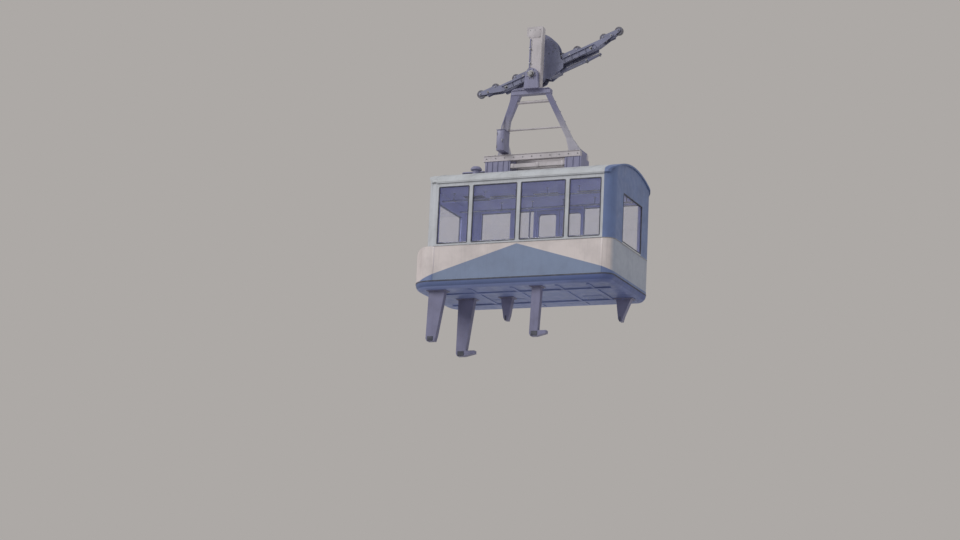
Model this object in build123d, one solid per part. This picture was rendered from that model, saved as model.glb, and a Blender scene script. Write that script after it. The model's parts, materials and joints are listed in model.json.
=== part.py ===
from build123d import *
import math
import os

# Aerial tramway cabin with its hanger and carriage, in millimetres.
# X runs along the cabin, towards the uphill end. Y runs across, away from the side with no door.
# Z is up. The origin is on the track rope's axis, over the middle of the window band.
# A "level" is a height over the cabin's underside.

# Cabin: driving dimensions
BAND_HALF = 2000.0          # window band, middle to the outside of an end wall
CABIN_W = 2240.0
CORNER_R = 210.0            # plan radius of the window band's corners
EAVE_LEVEL = 2175.0
ROPE_LEVEL = 4765.0         # track rope over the underside
SILL_LEVEL = 860.0
HEADER_LEVEL = 2075.0       # top of the side windows
END_HEADER_LEVEL = 1880.0   # top of the end windows
VAULT_RISE = 370.0
HAUNCH_R = 130.0            # the roof turns down to the eaves with this radius
WALL = 50.0
PAN_LEVEL = 150.0           # joint between the under pan and the side panels
FLOOR_T = 30.0

# Lower body: a bulged nose at the downhill end, flush with the windows at the uphill end
NOSE = 300.0                # how far the nose bulges past the end wall
NOSE_CORNER_R = 450.0
SHOULDER = 310.0            # height of the rounded shoulder under the end windows
SHOULDER_BOW = (88.0, 218.0)    # the shoulder's middle, in from the nose and up from its foot
UNDER_R = 140.0             # roll of the lower edge all round
WELL_IN = 160.0             # how far the pan's hollow is drawn in from its outline

# Window band
POST_W = 90.0
LAST_POST_W = 60.0          # posts next to the rounded corners
PILLAR_IN = 550.0           # half width of an end window
SILL_T = 45.0
GLASS_T = 10.0
MULLION_X = 1030.0
DOOR_HALF = 500.0           # half of the doorway, on the +Y side
DOOR_POST_W = 50.0

# Roof
ROOF_T = 35.0
ROOF_OVER = 25.0            # overhang past the window band
ROOF_SIDE = 45.0            # how far the roof's trimming outline clears the eaves
CEILING_GAP = 40.0          # ceiling over the window tops
CEILING_T = 20.0
HATCH_X = -1400.0
HATCH_HALF = 220.0
COAMING_T = 20.0
COAMING_UP = 45.0           # coaming over the crown of the roof
LID_GAP = 5.0
LID_OVER = 25.0
LID_T = 25.0
VENT_X = -1215.0
VENT_Y = -500.0

# Doors
LEAF_T = 38.0
LEAF_GAP = 12.0             # leaf to wall
LEAF_W = 535.0
LEAF_MEET = 5.0             # each leaf's edge from the middle, closed
LEAF_OFF = 15.0             # leaf over the floor, and past the top of the doorway
LEAF_FRAME = 70.0
TRACK_HALF = 1120.0
TRACK_GAP = 8.0

# Rails inside
RAIL_R = 17.0
RAIL_IN = 90.0
RAIL_UP = 90.0              # side rails over the belt
GRAB_DROP = 110.0           # ceiling rails under the window tops
GRAB_Y = 450.0
STANCHION_X = 600.0

# Hanger. Its head stands off the rope, on the side with no door
HEAD_NEAR = -440.0
HEAD_FAR = -300.0
HEAD_MID = (HEAD_NEAR + HEAD_FAR) / 2
# Head column: X and level of its corners
HEAD_EDGE = ((-150, 4210), (75, 4210), (90, 5550), (-255, 5550), (-255, 5370), (-150, 5250))
PIVOT_X = -85.0
PIVOT_LEVEL = 4510.0
PIVOT_R = 45.0
COLLAR_R = 70.0
COLLAR_T = 30.0
COLLAR_GAP = 8.0            # collar to the face that turns next to it
RUNNING = 0.05              # radial clearance of a running fit
BEARING_R = 130.0
BEARING_FOOT = 160.0        # half width of the bearing's foot on the yoke
BEARING_NEAR = -540.0
YOKE_LEVEL = 4120.0
YOKE_TOP_LEVEL = 4210.0
YOKE_X = (-545.0, 300.0)
BEAM_LEVEL = 2805.0
BEAM_TOP_LEVEL = 2930.0
BEAM_X = (-1175.0, 925.0)
BEAM_Y = 180.0
BEAM_W = 100.0
STRINGER_LEVELS = (2650.0, 2730.0)
STRINGER_W = 80.0
SADDLE_HALF_Y = 230.0
SADDLE_FOOT_LEVEL = 2300.0
# Saddles, middle and half length along X
SADDLES = ((-865.0, 275.0), (770.0, 175.0))
# Legs, from foot to yoke: level, X of the middle, width along X, width along Y
LEG_LOWER = ((2930, -805, 260, 200), (3240, -795, 130, 110), (3640, -690, 120, 100), (4120, -450, 180, 120))
LEG_UPPER = ((2930, 765, 260, 200), (3230, 630, 120, 100), (4120, 240, 110, 110))
# Cross braces between the legs: level and radius
BRACES = ((3980.0, 30.0), (3460.0, 20.0))

# Control box on the downhill leg
BOX_X = (-840.0, -680.0)
BOX_Y = (-400.0, -115.0)
BOX_LEVELS = (2990.0, 3420.0)

# Docking legs under the floor
DOCK_T = 120.0
DOCK_TOE_LOW = 50.0
DOCK_TOE_HIGH = 110.0
DOCK_CUT = 30.0
# X and Y of the root, width at the root and at the tip, drop, lean of the tip along X, toe length
DOCK_LEGS = (
    (-1765.0, -850.0, 350.0, 220.0, 1030.0, -85.0, 0.0),
    (-1485.0, 0.0, 350.0, 210.0, 1180.0, -70.0, 190.0),
    (-605.0, 0.0, 250.0, 120.0, 480.0, 10.0, 0.0),
    (375.0, -850.0, 190.0, 170.0, 1000.0, -30.0, 180.0),
    (1695.0, 550.0, 320.0, 110.0, 470.0, -50.0, 0.0),
)

# Carriage, in its own frame: u along the rope, Y across, v up from the rope's axis
ROPE_TILT = 20.5            # degrees, uphill end raised
ROPE_R = 20.0
WHEEL_TREAD_R = 68.0
WHEEL_R = 86.0
RIM_HALF = 35.0
GROOVE_HALF = 24.0
GROOVE_FLOOR = 12.0
WEB_STEP = 4.0              # depth of the wheel's web under its rim
HUB_R = 32.0
HUB_HALF = 38.0
PIN_R = 16.0                # axles and bogie pins
AXLE_PLAY = 0.3             # radial clearance of an axle in its plates
AXLE_LONG = 64.0            # half length of an axle
AXLE_HALF = 170.0           # axle from the middle of its bogie
# Rockers: middle along the rope, and half the distance between its two bogies
ROCKERS = ((-880.0, 410.0), (1075.0, 475.0))
PLATE_IN = 85.0
PLATE_T = 20.0
ARM_LOW = -105.0
ARM_TOP = 15.0
ARM_PAST = 90.0             # arm past the rocker's pin
ROCKER_IN = 62.0
ROCKER_T = 18.0
ROCKER_PAST = 40.0
ROCKER_PIN_V = -40.0
BOGIE_IN = 45.0
BOGIE_T = 12.0
BOGIE_PAST = 40.0
BOGIE_LOW = 18.0
BOGIE_TOP = 125.0
BOGIE_PIN_V = 44.0
BOGIE_END = (65.0, 110.0)   # low and high corners of a bogie plate at its ends
ROCKER_PIN_R = 24.0
ROCKER_EDGE = (-68.0, 22.0, 66.0)   # rocker plate: low edge at its middle, at its ends, and its top
HAUL_DROP = 205.0
HAUL_HALF = 30.0
SOCKET_BORE_R = 11.2
SOCKET_DEPTH = 160.0
SOCKET_R = (45.0, 24.0)
# Haul rope sockets: root of the arm, root of the cone and mouth, along the rope
SOCKETS = ((-285.0, -285.0, -525.0), (300.0, 855.0, 1215.0))
TIE_V = (-245.0, -165.0)
TIES = ((-285.0, -225.0), (20.0, 300.0))

FAR = 4000.0                # past everything, for cutting blocks

os.makedirs("parts", exist_ok=True)
base = -ROPE_LEVEL
half_w = CABIN_W / 2
flat_x = BAND_HALF - CORNER_R
flat_y = half_w - CORNER_R
crown_level = EAVE_LEVEL + VAULT_RISE
sill_top = SILL_LEVEL + SILL_T
axle_v = ROPE_R + WHEEL_TREAD_R
pivot_z = base + PIVOT_LEVEL
slope = math.radians(ROPE_TILT)
pivot_u = PIVOT_X * math.cos(slope) + pivot_z * math.sin(slope)
pivot_v = -PIVOT_X * math.sin(slope) + pivot_z * math.cos(slope)
tilt = Rot(0, -ROPE_TILT, 0)


def save(shape, node):
    """Write one named piece. A list of solids that do not touch shares a file."""
    if isinstance(shape, (list, tuple)):
        solids = [s for item in shape for s in item.solids()]
        shape = Compound(children=solids)
    export_step(shape, f"parts/{node}.step")


def block(x0, x1, y0, y1, low, high):
    """A box between two corners, its heights given as levels."""
    box = Box(x1 - x0, y1 - y0, high - low)
    return Pos((x0 + x1) / 2, (y0 + y1) / 2, base + (low + high) / 2) * box


def bar(u0, u1, y0, y1, v0, v1):
    """A box in the carriage's own frame."""
    box = Box(u1 - u0, y1 - y0, v1 - v0)
    return Pos((u0 + u1) / 2, (y0 + y1) / 2, (v0 + v1) / 2) * box


def rod_y(x, z, y0, y1, r):
    """A round bar across the object."""
    return Pos(x, (y0 + y1) / 2, z) * Rot(90, 0, 0) * Cylinder(r, y1 - y0)


def rod_x(x0, x1, y, z, r):
    """A round bar along the object."""
    return Pos((x0 + x1) / 2, y, z) * Rot(0, 90, 0) * Cylinder(r, x1 - x0)


def plate(face, y0, y1):
    """A flat plate: a face drawn in X and Z, between two Y faces."""
    return Pos(0, y1, 0) * extrude(Plane.XZ * face, y1 - y0)


def outline(*points):
    return make_face(Polyline(*points, close=True))


def spread(side, near, far):
    """Low and high ends of a stretch on one side of the middle."""
    return sorted((side * near, side * far))


# Plans of the cabin
def band_prism(inset, low, high):
    """The window band's rounded plan, drawn in by inset, between two levels."""
    plan = RectangleRounded(2 * (BAND_HALF - inset), CABIN_W - 2 * inset, CORNER_R - inset)
    return Pos(0, 0, base + low) * extrude(plan, high - low)


def belt_prism(inset, low, high):
    """The belt's plan, with its blunt downhill nose, between two levels."""
    plan = Pos(-NOSE / 2, 0) * Rectangle(2 * (BAND_HALF - inset) + NOSE, CABIN_W - 2 * inset)
    plan = fillet(plan.vertices().group_by(Axis.X)[0], NOSE_CORNER_R - inset)
    plan = fillet(plan.vertices().group_by(Axis.X)[-1], CORNER_R - inset)
    return Pos(0, 0, base + low) * extrude(plan, high - low)


def belt_body(inset, low, high):
    """The belt as a solid, with a rounded shoulder over its nose."""
    nose = -BAND_HALF - NOSE + inset
    wall = -BAND_HALF + inset
    foot = SILL_LEVEL - SHOULDER
    bow = (nose + SHOULDER_BOW[0], foot + SHOULDER_BOW[1])
    edge = (
        Polyline((wall, SILL_LEVEL), (wall, FAR), (FAR, FAR), (FAR, 0), (nose, 0), (nose, foot))
        + ThreePointArc((nose, foot), bow, (wall, SILL_LEVEL))
    )
    side = plate(make_face(edge), -half_w, half_w)
    return (Pos(0, 0, base) * side) & belt_prism(inset, low, high)


# Under pan and floor
pan = belt_prism(0, 0, PAN_LEVEL)
pan = fillet(pan.edges().group_by(Axis.Z)[0], UNDER_R)
save(pan - belt_prism(WELL_IN, WALL, PAN_LEVEL), "under_pan")
save(belt_prism(WELL_IN, PAN_LEVEL - FLOOR_T, PAN_LEVEL), "floor")

# Belt: a shell cut into two ends, a near side and a far side with its doorway
jamb = DOOR_HALF + DOOR_POST_W
belt = belt_body(0, PAN_LEVEL, SILL_LEVEL) - belt_body(WALL, PAN_LEVEL - 1, SILL_LEVEL + 1)
for node, side in (("nose_lower", -1), ("nose_upper", 1)):
    save(belt & block(*spread(side, flat_x, FAR), -FAR, FAR, 0, FAR), node)
save(belt & block(-flat_x, flat_x, -FAR, 0, 0, FAR), "side_panel_near")
far_panel = belt & block(-flat_x, flat_x, 0, FAR, 0, FAR)
save(far_panel - block(-jamb, jamb, 0, FAR, 0, FAR), "side_panel_far")

# Window band: rounded corners, posts, end pillars, sills and headers
near_y = (-half_w, -half_w + WALL)
far_y = (half_w - WALL, half_w)
ring = band_prism(0, SILL_LEVEL, crown_level) - band_prism(WALL, SILL_LEVEL - 1, crown_level + 1)
corners = []
pillars = []
for sx in (-1, 1):
    for sy in (-1, 1):
        quarter = block(*spread(sx, flat_x, FAR), *spread(sy, flat_y, FAR), 0, EAVE_LEVEL)
        corners.append(ring & quarter)
        wall_x = spread(sx, BAND_HALF - WALL, BAND_HALF)
        pillars.append(block(*wall_x, *spread(sy, PILLAR_IN, flat_y), SILL_LEVEL, END_HEADER_LEVEL))
save(corners, "corner_posts")
save(pillars, "end_pillars")


def between(stops, y0, y1, low, high):
    """Boxes along X in the gaps between posts, each post a (start, end) pair."""
    return [block(a[1], b[0], y0, y1, low, high) for a, b in zip(stops, stops[1:])]


last_posts = ((-flat_x, -flat_x + LAST_POST_W), (flat_x - LAST_POST_W, flat_x))
near_mids = [(x - POST_W / 2, x + POST_W / 2) for x in (-MULLION_X, 0, MULLION_X)]
near_stops = [last_posts[0], *near_mids, last_posts[1]]
save([block(a, b, *near_y, SILL_LEVEL, HEADER_LEVEL) for a, b in near_stops], "mullions_near")

far_mids = [(x - POST_W / 2, x + POST_W / 2) for x in (-MULLION_X, MULLION_X)]
jambs = [(-jamb, -DOOR_HALF), (DOOR_HALF, jamb)]
far_posts = [last_posts[0], far_mids[0], far_mids[1], last_posts[1]]
posts = [block(a, b, *far_y, SILL_LEVEL, HEADER_LEVEL) for a, b in far_posts]
posts += [block(a, b, *far_y, PAN_LEVEL, HEADER_LEVEL) for a, b in jambs]
save(posts, "mullions_far")
# The far side's windows lie either side of the doorway
far_stops = ([last_posts[0], far_mids[0], jambs[0]], [jambs[1], far_mids[1], last_posts[1]])

sills = between(near_stops, *near_y, SILL_LEVEL, sill_top)
near_pane = (-half_w + (WALL - GLASS_T) / 2, -half_w + (WALL + GLASS_T) / 2)
far_pane = (half_w - (WALL + GLASS_T) / 2, half_w - (WALL - GLASS_T) / 2)
far_panes = []
for stops in far_stops:
    sills += between(stops, *far_y, SILL_LEVEL, sill_top)
    far_panes += between(stops, *far_pane, sill_top, HEADER_LEVEL)
end_panes = []
for sx in (-1, 1):
    sills.append(block(*spread(sx, BAND_HALF - WALL, BAND_HALF), -PILLAR_IN, PILLAR_IN, SILL_LEVEL, sill_top))
    pane_x = spread(sx, BAND_HALF - (WALL + GLASS_T) / 2, BAND_HALF - (WALL - GLASS_T) / 2)
    end_panes.append(block(*pane_x, -PILLAR_IN, PILLAR_IN, sill_top, END_HEADER_LEVEL))
save(sills, "window_sills")
save(between(near_stops, *near_pane, sill_top, HEADER_LEVEL), "glass_near")
save(far_panes, "glass_far")
save(end_panes, "glass_ends")
headers = [block(-flat_x, flat_x, *y, HEADER_LEVEL, EAVE_LEVEL) for y in (near_y, far_y)]
save(headers, "window_headers")


# Roof: a barrel of three arcs with arched ends, over a flat ceiling
haunch_y = half_w + ROOF_OVER - HAUNCH_R
crown_r = (haunch_y**2 + VAULT_RISE**2 - HAUNCH_R**2) / (2 * (VAULT_RISE - HAUNCH_R))
haunch_turn = math.atan2(crown_r - VAULT_RISE, haunch_y)


def barrel(inset):
    """The roof's barrel, drawn in by inset, as a long solid."""
    r = HAUNCH_R - inset
    foot = (haunch_y + r, 0)
    bend = (haunch_y + r * math.cos(haunch_turn / 2), r * math.sin(haunch_turn / 2))
    joint = (haunch_y + r * math.cos(haunch_turn), r * math.sin(haunch_turn))
    haunch = ThreePointArc(foot, bend, joint)
    crown = ThreePointArc(joint, (0, VAULT_RISE - inset), (-joint[0], joint[1]))
    arch = make_face(haunch + crown + mirror(haunch, about=Plane.YZ) + Line((-foot[0], 0), foot))
    return Pos(-FAR, 0, base + EAVE_LEVEL) * extrude(Plane.YZ * arch, 2 * FAR)


trim = RectangleRounded(2 * (BAND_HALF + ROOF_OVER), 2 * (half_w + ROOF_SIDE), CORNER_R + ROOF_SIDE)
trim = Pos(0, 0, base + EAVE_LEVEL) * extrude(trim, VAULT_RISE + 1)
hatch_x = (HATCH_X - HATCH_HALF, HATCH_X + HATCH_HALF)
hatch_hole = block(*hatch_x, -HATCH_HALF, HATCH_HALF, HEADER_LEVEL, FAR)
save((barrel(0) & trim) - barrel(ROOF_T) - hatch_hole, "roof_shell")

end_headers = []
for sx in (-1, 1):
    wall_x = spread(sx, BAND_HALF - WALL, BAND_HALF)
    lower = block(*wall_x, -flat_y, flat_y, END_HEADER_LEVEL, EAVE_LEVEL)
    arch = ring & barrel(ROOF_T) & block(*spread(sx, flat_x, FAR), -FAR, FAR, EAVE_LEVEL, FAR)
    end_headers.append(lower + arch)
save(end_headers, "end_headers")

ceiling_level = HEADER_LEVEL + CEILING_GAP
save(band_prism(WALL, ceiling_level, ceiling_level + CEILING_T) - hatch_hole, "ceiling")

# Roof hatch: a coaming round the hole and a lid over it
coaming_top = crown_level + COAMING_UP
coaming = block(*hatch_x, -HATCH_HALF, HATCH_HALF, ceiling_level, coaming_top)
inner = HATCH_HALF - COAMING_T
save(coaming - block(HATCH_X - inner, HATCH_X + inner, -inner, inner, 0, FAR), "hatch_coaming")
lid_low = coaming_top + LID_GAP
lid_half = HATCH_HALF + LID_OVER
lid = block(HATCH_X - lid_half, HATCH_X + lid_half, -lid_half, lid_half, lid_low, lid_low + LID_T)
lid = fillet(lid.edges().filter_by(Axis.Z), 40)
lid = chamfer(lid.faces().sort_by(Axis.Z)[-1].edges(), 8)
save(lid, "hatch_lid")

# Roof ventilator: a short neck under a shallow cowl
cowl = Polyline((0, 0), (70, 0), (70, 90), (115, 100), (115, 125), (80, 165), (0, 175), close=True)
vent = revolve(Plane.XZ * make_face(cowl), Axis.Z)
save((Pos(VENT_X, VENT_Y, base + crown_level - 80) * vent) - barrel(0), "roof_vent")

# Sliding door leaves, hung outside the +Y wall
leaf_y = (half_w + LEAF_GAP, half_w + LEAF_GAP + LEAF_T)
leaf_mid = sum(leaf_y) / 2
leaf_low = PAN_LEVEL + LEAF_OFF
leaf_high = HEADER_LEVEL + LEAF_OFF
for node, side in (("lower", -1), ("upper", 1)):
    x0, x1 = spread(side, LEAF_MEET, LEAF_MEET + LEAF_W)
    light_levels = (sill_top + LEAF_OFF, HEADER_LEVEL - LEAF_FRAME)
    light = block(x0 + LEAF_FRAME, x1 - LEAF_FRAME, *leaf_y, *light_levels)
    light = fillet(light.edges().filter_by(Axis.Y), 60)
    save(block(x0, x1, *leaf_y, leaf_low, leaf_high) - light, f"door_leaf_{node}")
    slice_y = (leaf_mid - GLASS_T / 2, leaf_mid + GLASS_T / 2)
    save(light & block(-FAR, FAR, *slice_y, 0, FAR), f"door_glass_{node}")

track_y = (half_w, leaf_y[1] + TRACK_GAP)
track = block(-TRACK_HALF, TRACK_HALF, *track_y, leaf_high + TRACK_GAP, EAVE_LEVEL)
guide = block(-TRACK_HALF, TRACK_HALF, *track_y, leaf_low - TRACK_GAP - 18, leaf_low - TRACK_GAP)
save([track, guide], "door_tracks")

# Rails inside: along the sides, under the ceiling, and a pole each side of the doorway
inside = band_prism(WALL, 0, FAR)
rail_y = half_w - WALL - RAIL_IN
rail_z = base + SILL_LEVEL + RAIL_UP
grab_z = base + HEADER_LEVEL - GRAB_DROP
poles = []
for side in (-1, 1):
    height = ceiling_level - PAN_LEVEL
    pole = Cylinder(RAIL_R, height)
    poles.append(Pos(side * STANCHION_X, rail_y, base + PAN_LEVEL + height / 2) * pole)
save(poles, "stanchions")
rails = [rod_x(-BAND_HALF, BAND_HALF, -rail_y, rail_z, RAIL_R) & inside]
for side, pole in zip((-1, 1), poles):
    rails.append((rod_x(*spread(side, STANCHION_X, BAND_HALF), rail_y, rail_z, RAIL_R) & inside) - pole)
for y in (-GRAB_Y, GRAB_Y):
    rails.append(rod_x(WALL - BAND_HALF, BAND_HALF - WALL, y, grab_z, RAIL_R))
save(rails, "handrails")

# Hanger base: a saddle on the roof under each leg, stringers between them, and two long beams
saddles = []
for mid, half in SADDLES:
    low = block(mid - half, mid + half, -SADDLE_HALF_Y, SADDLE_HALF_Y, SADDLE_FOOT_LEVEL, BEAM_LEVEL)
    top_y = BEAM_Y - BEAM_W / 2
    top = block(mid - half + 15, mid + half - 15, -top_y, top_y, BEAM_LEVEL, BEAM_TOP_LEVEL)
    saddles.append((low + top) - barrel(0))
save(saddles, "hanger_saddles")
stringer_x = (SADDLES[0][0] + SADDLES[0][1], SADDLES[1][0] - SADDLES[1][1])
beams = []
stringers = []
for side in (-1, 1):
    beam_y = spread(side, BEAM_Y - BEAM_W / 2, BEAM_Y + BEAM_W / 2)
    beams.append(block(*BEAM_X, *beam_y, BEAM_LEVEL, BEAM_TOP_LEVEL))
    stringer_y = spread(side, BEAM_Y - STRINGER_W / 2, BEAM_Y + STRINGER_W / 2)
    stringers.append(block(*stringer_x, *stringer_y, *STRINGER_LEVELS))
save(beams, "hanger_beams")
save(stringers, "hanger_stringers")


# Hanger legs: tapered box sections that lean out to the yoke, off the rope's line
def leg_y(level):
    return HEAD_MID * (level - BEAM_TOP_LEVEL) / (YOKE_LEVEL - BEAM_TOP_LEVEL)


def leg_x(rows, level):
    """Middle of a leg at a level, between the rows of its table."""
    for lower, upper in zip(rows, rows[1:]):
        if level <= upper[0]:
            share = (level - lower[0]) / (upper[0] - lower[0])
            return lower[1] + share * (upper[1] - lower[1])
    return rows[-1][1]


def make_leg(rows):
    sections = [Pos(x, leg_y(level), base + level) * Rectangle(wx, wy) for level, x, wx, wy in rows]
    spans = [loft([lower, upper]) for lower, upper in zip(sections, sections[1:])]
    leg = spans[0]
    for span in spans[1:]:
        leg = leg + span
    return leg


legs = [make_leg(LEG_LOWER), make_leg(LEG_UPPER)]
save(legs, "hanger_legs")
braces = []
for level, r in BRACES:
    brace = rod_x(leg_x(LEG_LOWER, level), leg_x(LEG_UPPER, level), leg_y(level), base + level, r)
    braces.append(brace - legs[0] - legs[1])
save(braces, "hanger_braces")
save(block(*YOKE_X, HEAD_NEAR, HEAD_FAR, YOKE_LEVEL, YOKE_TOP_LEVEL), "hanger_yoke")

# Head: a flat column that widens to a box at its top, with the pivot's bearing on its face
head = outline(*[(x, base + level) for x, level in HEAD_EDGE])
head = fillet(head.vertices().group_by(Axis.Y)[-1], 25)
column = plate(head, HEAD_NEAR, HEAD_FAR)
column = column - rod_y(PIVOT_X, pivot_z, HEAD_NEAR - 5, HEAD_FAR + 5, PIVOT_R + RUNNING)
save(column, "hanger_head")
bearing = rod_y(PIVOT_X, pivot_z, BEARING_NEAR, HEAD_NEAR, BEARING_R)
foot = outline(
    (PIVOT_X - BEARING_FOOT, base + YOKE_TOP_LEVEL), (PIVOT_X + BEARING_FOOT, base + YOKE_TOP_LEVEL),
    (PIVOT_X + BEARING_R, pivot_z), (PIVOT_X - BEARING_R, pivot_z),
)
bearing = bearing + plate(foot, BEARING_NEAR, HEAD_NEAR)
bearing = bearing - rod_y(PIVOT_X, pivot_z, BEARING_NEAR - 5, HEAD_NEAR + 5, PIVOT_R + RUNNING)
save(bearing, "pivot_bearing")

box = block(*BOX_X, *BOX_Y, *BOX_LEVELS) - legs[0]
save(box.solids().sort_by(SortBy.VOLUME)[-1], "control_box")

# Docking legs: flat tapered plates, some with a toe
dock_legs = []
for x, y, root_w, tip_w, drop, lean, toe in DOCK_LEGS:
    tip_x = x + lean
    right = tip_x + tip_w / 2
    left = tip_x - tip_w / 2
    points = [(x - root_w / 2, 0), (x + root_w / 2, 0), (right, DOCK_TOE_HIGH - drop)]
    if toe:
        points += [(right + toe, DOCK_TOE_HIGH - drop), (right + toe, DOCK_TOE_LOW - drop)]
    points += [(right - DOCK_CUT, -drop), (left + DOCK_CUT, -drop), (left, DOCK_TOE_LOW - drop)]
    leg_face = outline(*[(px, base + pz) for px, pz in points])
    dock_legs.append(plate(leg_face, y - DOCK_T / 2, y + DOCK_T / 2))
save(dock_legs, "docking_legs")

# Carriage side plates: a fin with a curved uphill edge, and an arm towards each rocker
low_end = ROCKERS[0][0] - ARM_PAST
high_end = ROCKERS[1][0] + ARM_PAST
arm_mid = (ARM_LOW + ARM_TOP) / 2
fin = (
    Polyline(
        (430, 300), (405, ARM_TOP), (high_end, ARM_TOP), (high_end + 20, arm_mid), (high_end, ARM_LOW),
        (420, ARM_LOW), (390, -180), (50, -278), (-30, -235),
        (-90, -290), (-230, -300), (-290, -245), (-290, ARM_LOW),
        (low_end, ARM_LOW), (low_end - 20, arm_mid), (low_end, ARM_TOP), (-290, ARM_TOP),
        (-150, 560), (80, 640), (235, 690),
    )
    + ThreePointArc((235, 690), (375, 515), (430, 300))
)
side_plates = []
for y0, y1 in ((-PLATE_IN - PLATE_T, -PLATE_IN), (PLATE_IN, PLATE_IN + PLATE_T)):
    sheet = plate(make_face(fin), y0, y1) - rod_y(pivot_u, pivot_v, y0 - 5, y1 + 5, PIVOT_R)
    side_plates.append(tilt * sheet)
save(side_plates, "carriage_plates")

# Brake housing between the side plates, over the rope and clear of the wheels
housing = outline((85, 615), (225, 660), (350, 510), (400, 300), (385, 215), (-235, 215), (-135, 545))
save(tilt * plate(housing, -PLATE_IN, PLATE_IN), "brake_housing")

# Ties between the side plates under the rope, and the haul rope sockets that they carry
save([tilt * bar(u0, u1, -PLATE_IN, PLATE_IN, *TIE_V) for u0, u1 in TIES], "carriage_tie")
sockets = []
for arm_root, root, mouth in SOCKETS:
    side = math.copysign(1, mouth)
    cone = Pos((root + mouth) / 2, 0, -HAUL_DROP) * Rot(0, side * 90, 0) * Cone(*SOCKET_R, abs(mouth - root))
    socket = cone
    if arm_root != root:
        socket = socket + bar(arm_root, root, -25, 25, -HAUL_DROP - HAUL_HALF, -HAUL_DROP + HAUL_HALF)
    bore_u = sorted((mouth, mouth - side * SOCKET_DEPTH))
    sockets.append(tilt * (socket - rod_x(*bore_u, 0, -HAUL_DROP, SOCKET_BORE_R)))
save(sockets, "haul_sockets")

# Rockers: a pair of tapered plates at each end of the carriage. Bogies: a pair of plates on each pin
rocker_sides = []
bogie_sides = []
pins = []
bogie_mids = []
for mid, half in ROCKERS:
    end = half + ROCKER_PAST
    low, low_ends, top = ROCKER_EDGE
    face = outline(
        (mid - end, low_ends), (mid - 150, low), (mid + 150, low), (mid + end, low_ends),
        (mid + end, top), (mid - end, top),
    )
    bogie_mids += [mid - half, mid + half]
    for side in (-1, 1):
        rocker_sides.append(tilt * plate(face, *spread(side, ROCKER_IN, ROCKER_IN + ROCKER_T)))
        washer_y = spread(side, ROCKER_IN + ROCKER_T, PLATE_IN)
        pins.append(tilt * rod_y(mid, ROCKER_PIN_V, *washer_y, ROCKER_PIN_R))
for mid in bogie_mids:
    end = AXLE_HALF + BOGIE_PAST
    low, high = BOGIE_END
    face = outline(
        (mid - end, low), (mid - 60, BOGIE_LOW), (mid + 60, BOGIE_LOW), (mid + end, low),
        (mid + end, high), (mid + end - 25, BOGIE_TOP), (mid - end + 25, BOGIE_TOP), (mid - end, high),
    )
    pins.append(tilt * rod_y(mid, BOGIE_PIN_V, -BOGIE_IN, BOGIE_IN, PIN_R))
    for side in (-1, 1):
        sheet = plate(face, *spread(side, BOGIE_IN, BOGIE_IN + BOGIE_T))
        for axle in (mid - AXLE_HALF, mid + AXLE_HALF):
            sheet = sheet - rod_y(axle, axle_v, -FAR, FAR, PIN_R + AXLE_PLAY)
        bogie_sides.append(tilt * sheet)
        washer_y = spread(side, BOGIE_IN + BOGIE_T, ROCKER_IN)
        pins.append(tilt * rod_y(mid, BOGIE_PIN_V, *washer_y, PIN_R))
save(rocker_sides, "rockers")
save(bogie_sides, "bogies")
save(pins, "carriage_pins")

# Track wheels: a grooved rim on a stepped web, turned in one piece with its axle
half_profile = Polyline(
    (0, -AXLE_LONG), (PIN_R, -AXLE_LONG), (PIN_R, -HUB_HALF), (HUB_R, -HUB_HALF),
    (HUB_R, WEB_STEP - RIM_HALF), (WHEEL_TREAD_R - 10, WEB_STEP - RIM_HALF),
    (WHEEL_TREAD_R - 6, -RIM_HALF), (WHEEL_R, -RIM_HALF), (WHEEL_R, -GROOVE_HALF),
    (WHEEL_TREAD_R, -GROOVE_FLOOR), (WHEEL_TREAD_R, 0),
)
axis_line = Line((0, -AXLE_LONG), (0, AXLE_LONG))
profile = make_face(half_profile + mirror(half_profile, about=Plane.XZ) + axis_line)
wheel = revolve(Plane.XZ * profile, Axis.Z)
axle_us = [mid + side * AXLE_HALF for mid in bogie_mids for side in (-1, 1)]
for number, u in enumerate(axle_us, start=1):
    save(tilt * Pos(u, 0, axle_v) * Rot(90, 0, 0) * wheel, f"track_wheel_{number}")

# Pivot pin through both side plates, the head and the bearing, with a collar at each face
pin_far = PLATE_IN + PLATE_T + COLLAR_T
pin_near = BEARING_NEAR - COLLAR_GAP - COLLAR_T
pin = rod_y(PIVOT_X, pivot_z, pin_near, pin_far, PIVOT_R)
collars = (
    (PLATE_IN + PLATE_T, pin_far),
    (HEAD_FAR + COLLAR_GAP, -PLATE_IN - PLATE_T),
    (pin_near, BEARING_NEAR - COLLAR_GAP),
)
for y0, y1 in collars:
    pin = pin + rod_y(PIVOT_X, pivot_z, y0, y1, COLLAR_R)
save(pin, "pivot_pin")
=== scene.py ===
# %% [markdown]
# An aerial cable car: a glazed cabin with a barrel roof, hung on an A-frame under a small wheeled
# carriage that stands at a slope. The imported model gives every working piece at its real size. This
# lesson adds the finishes and the small parts that make it look built, used and weathered.

import json
import math

import bmesh
import bpy
from mathutils import Matrix, Vector


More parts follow.
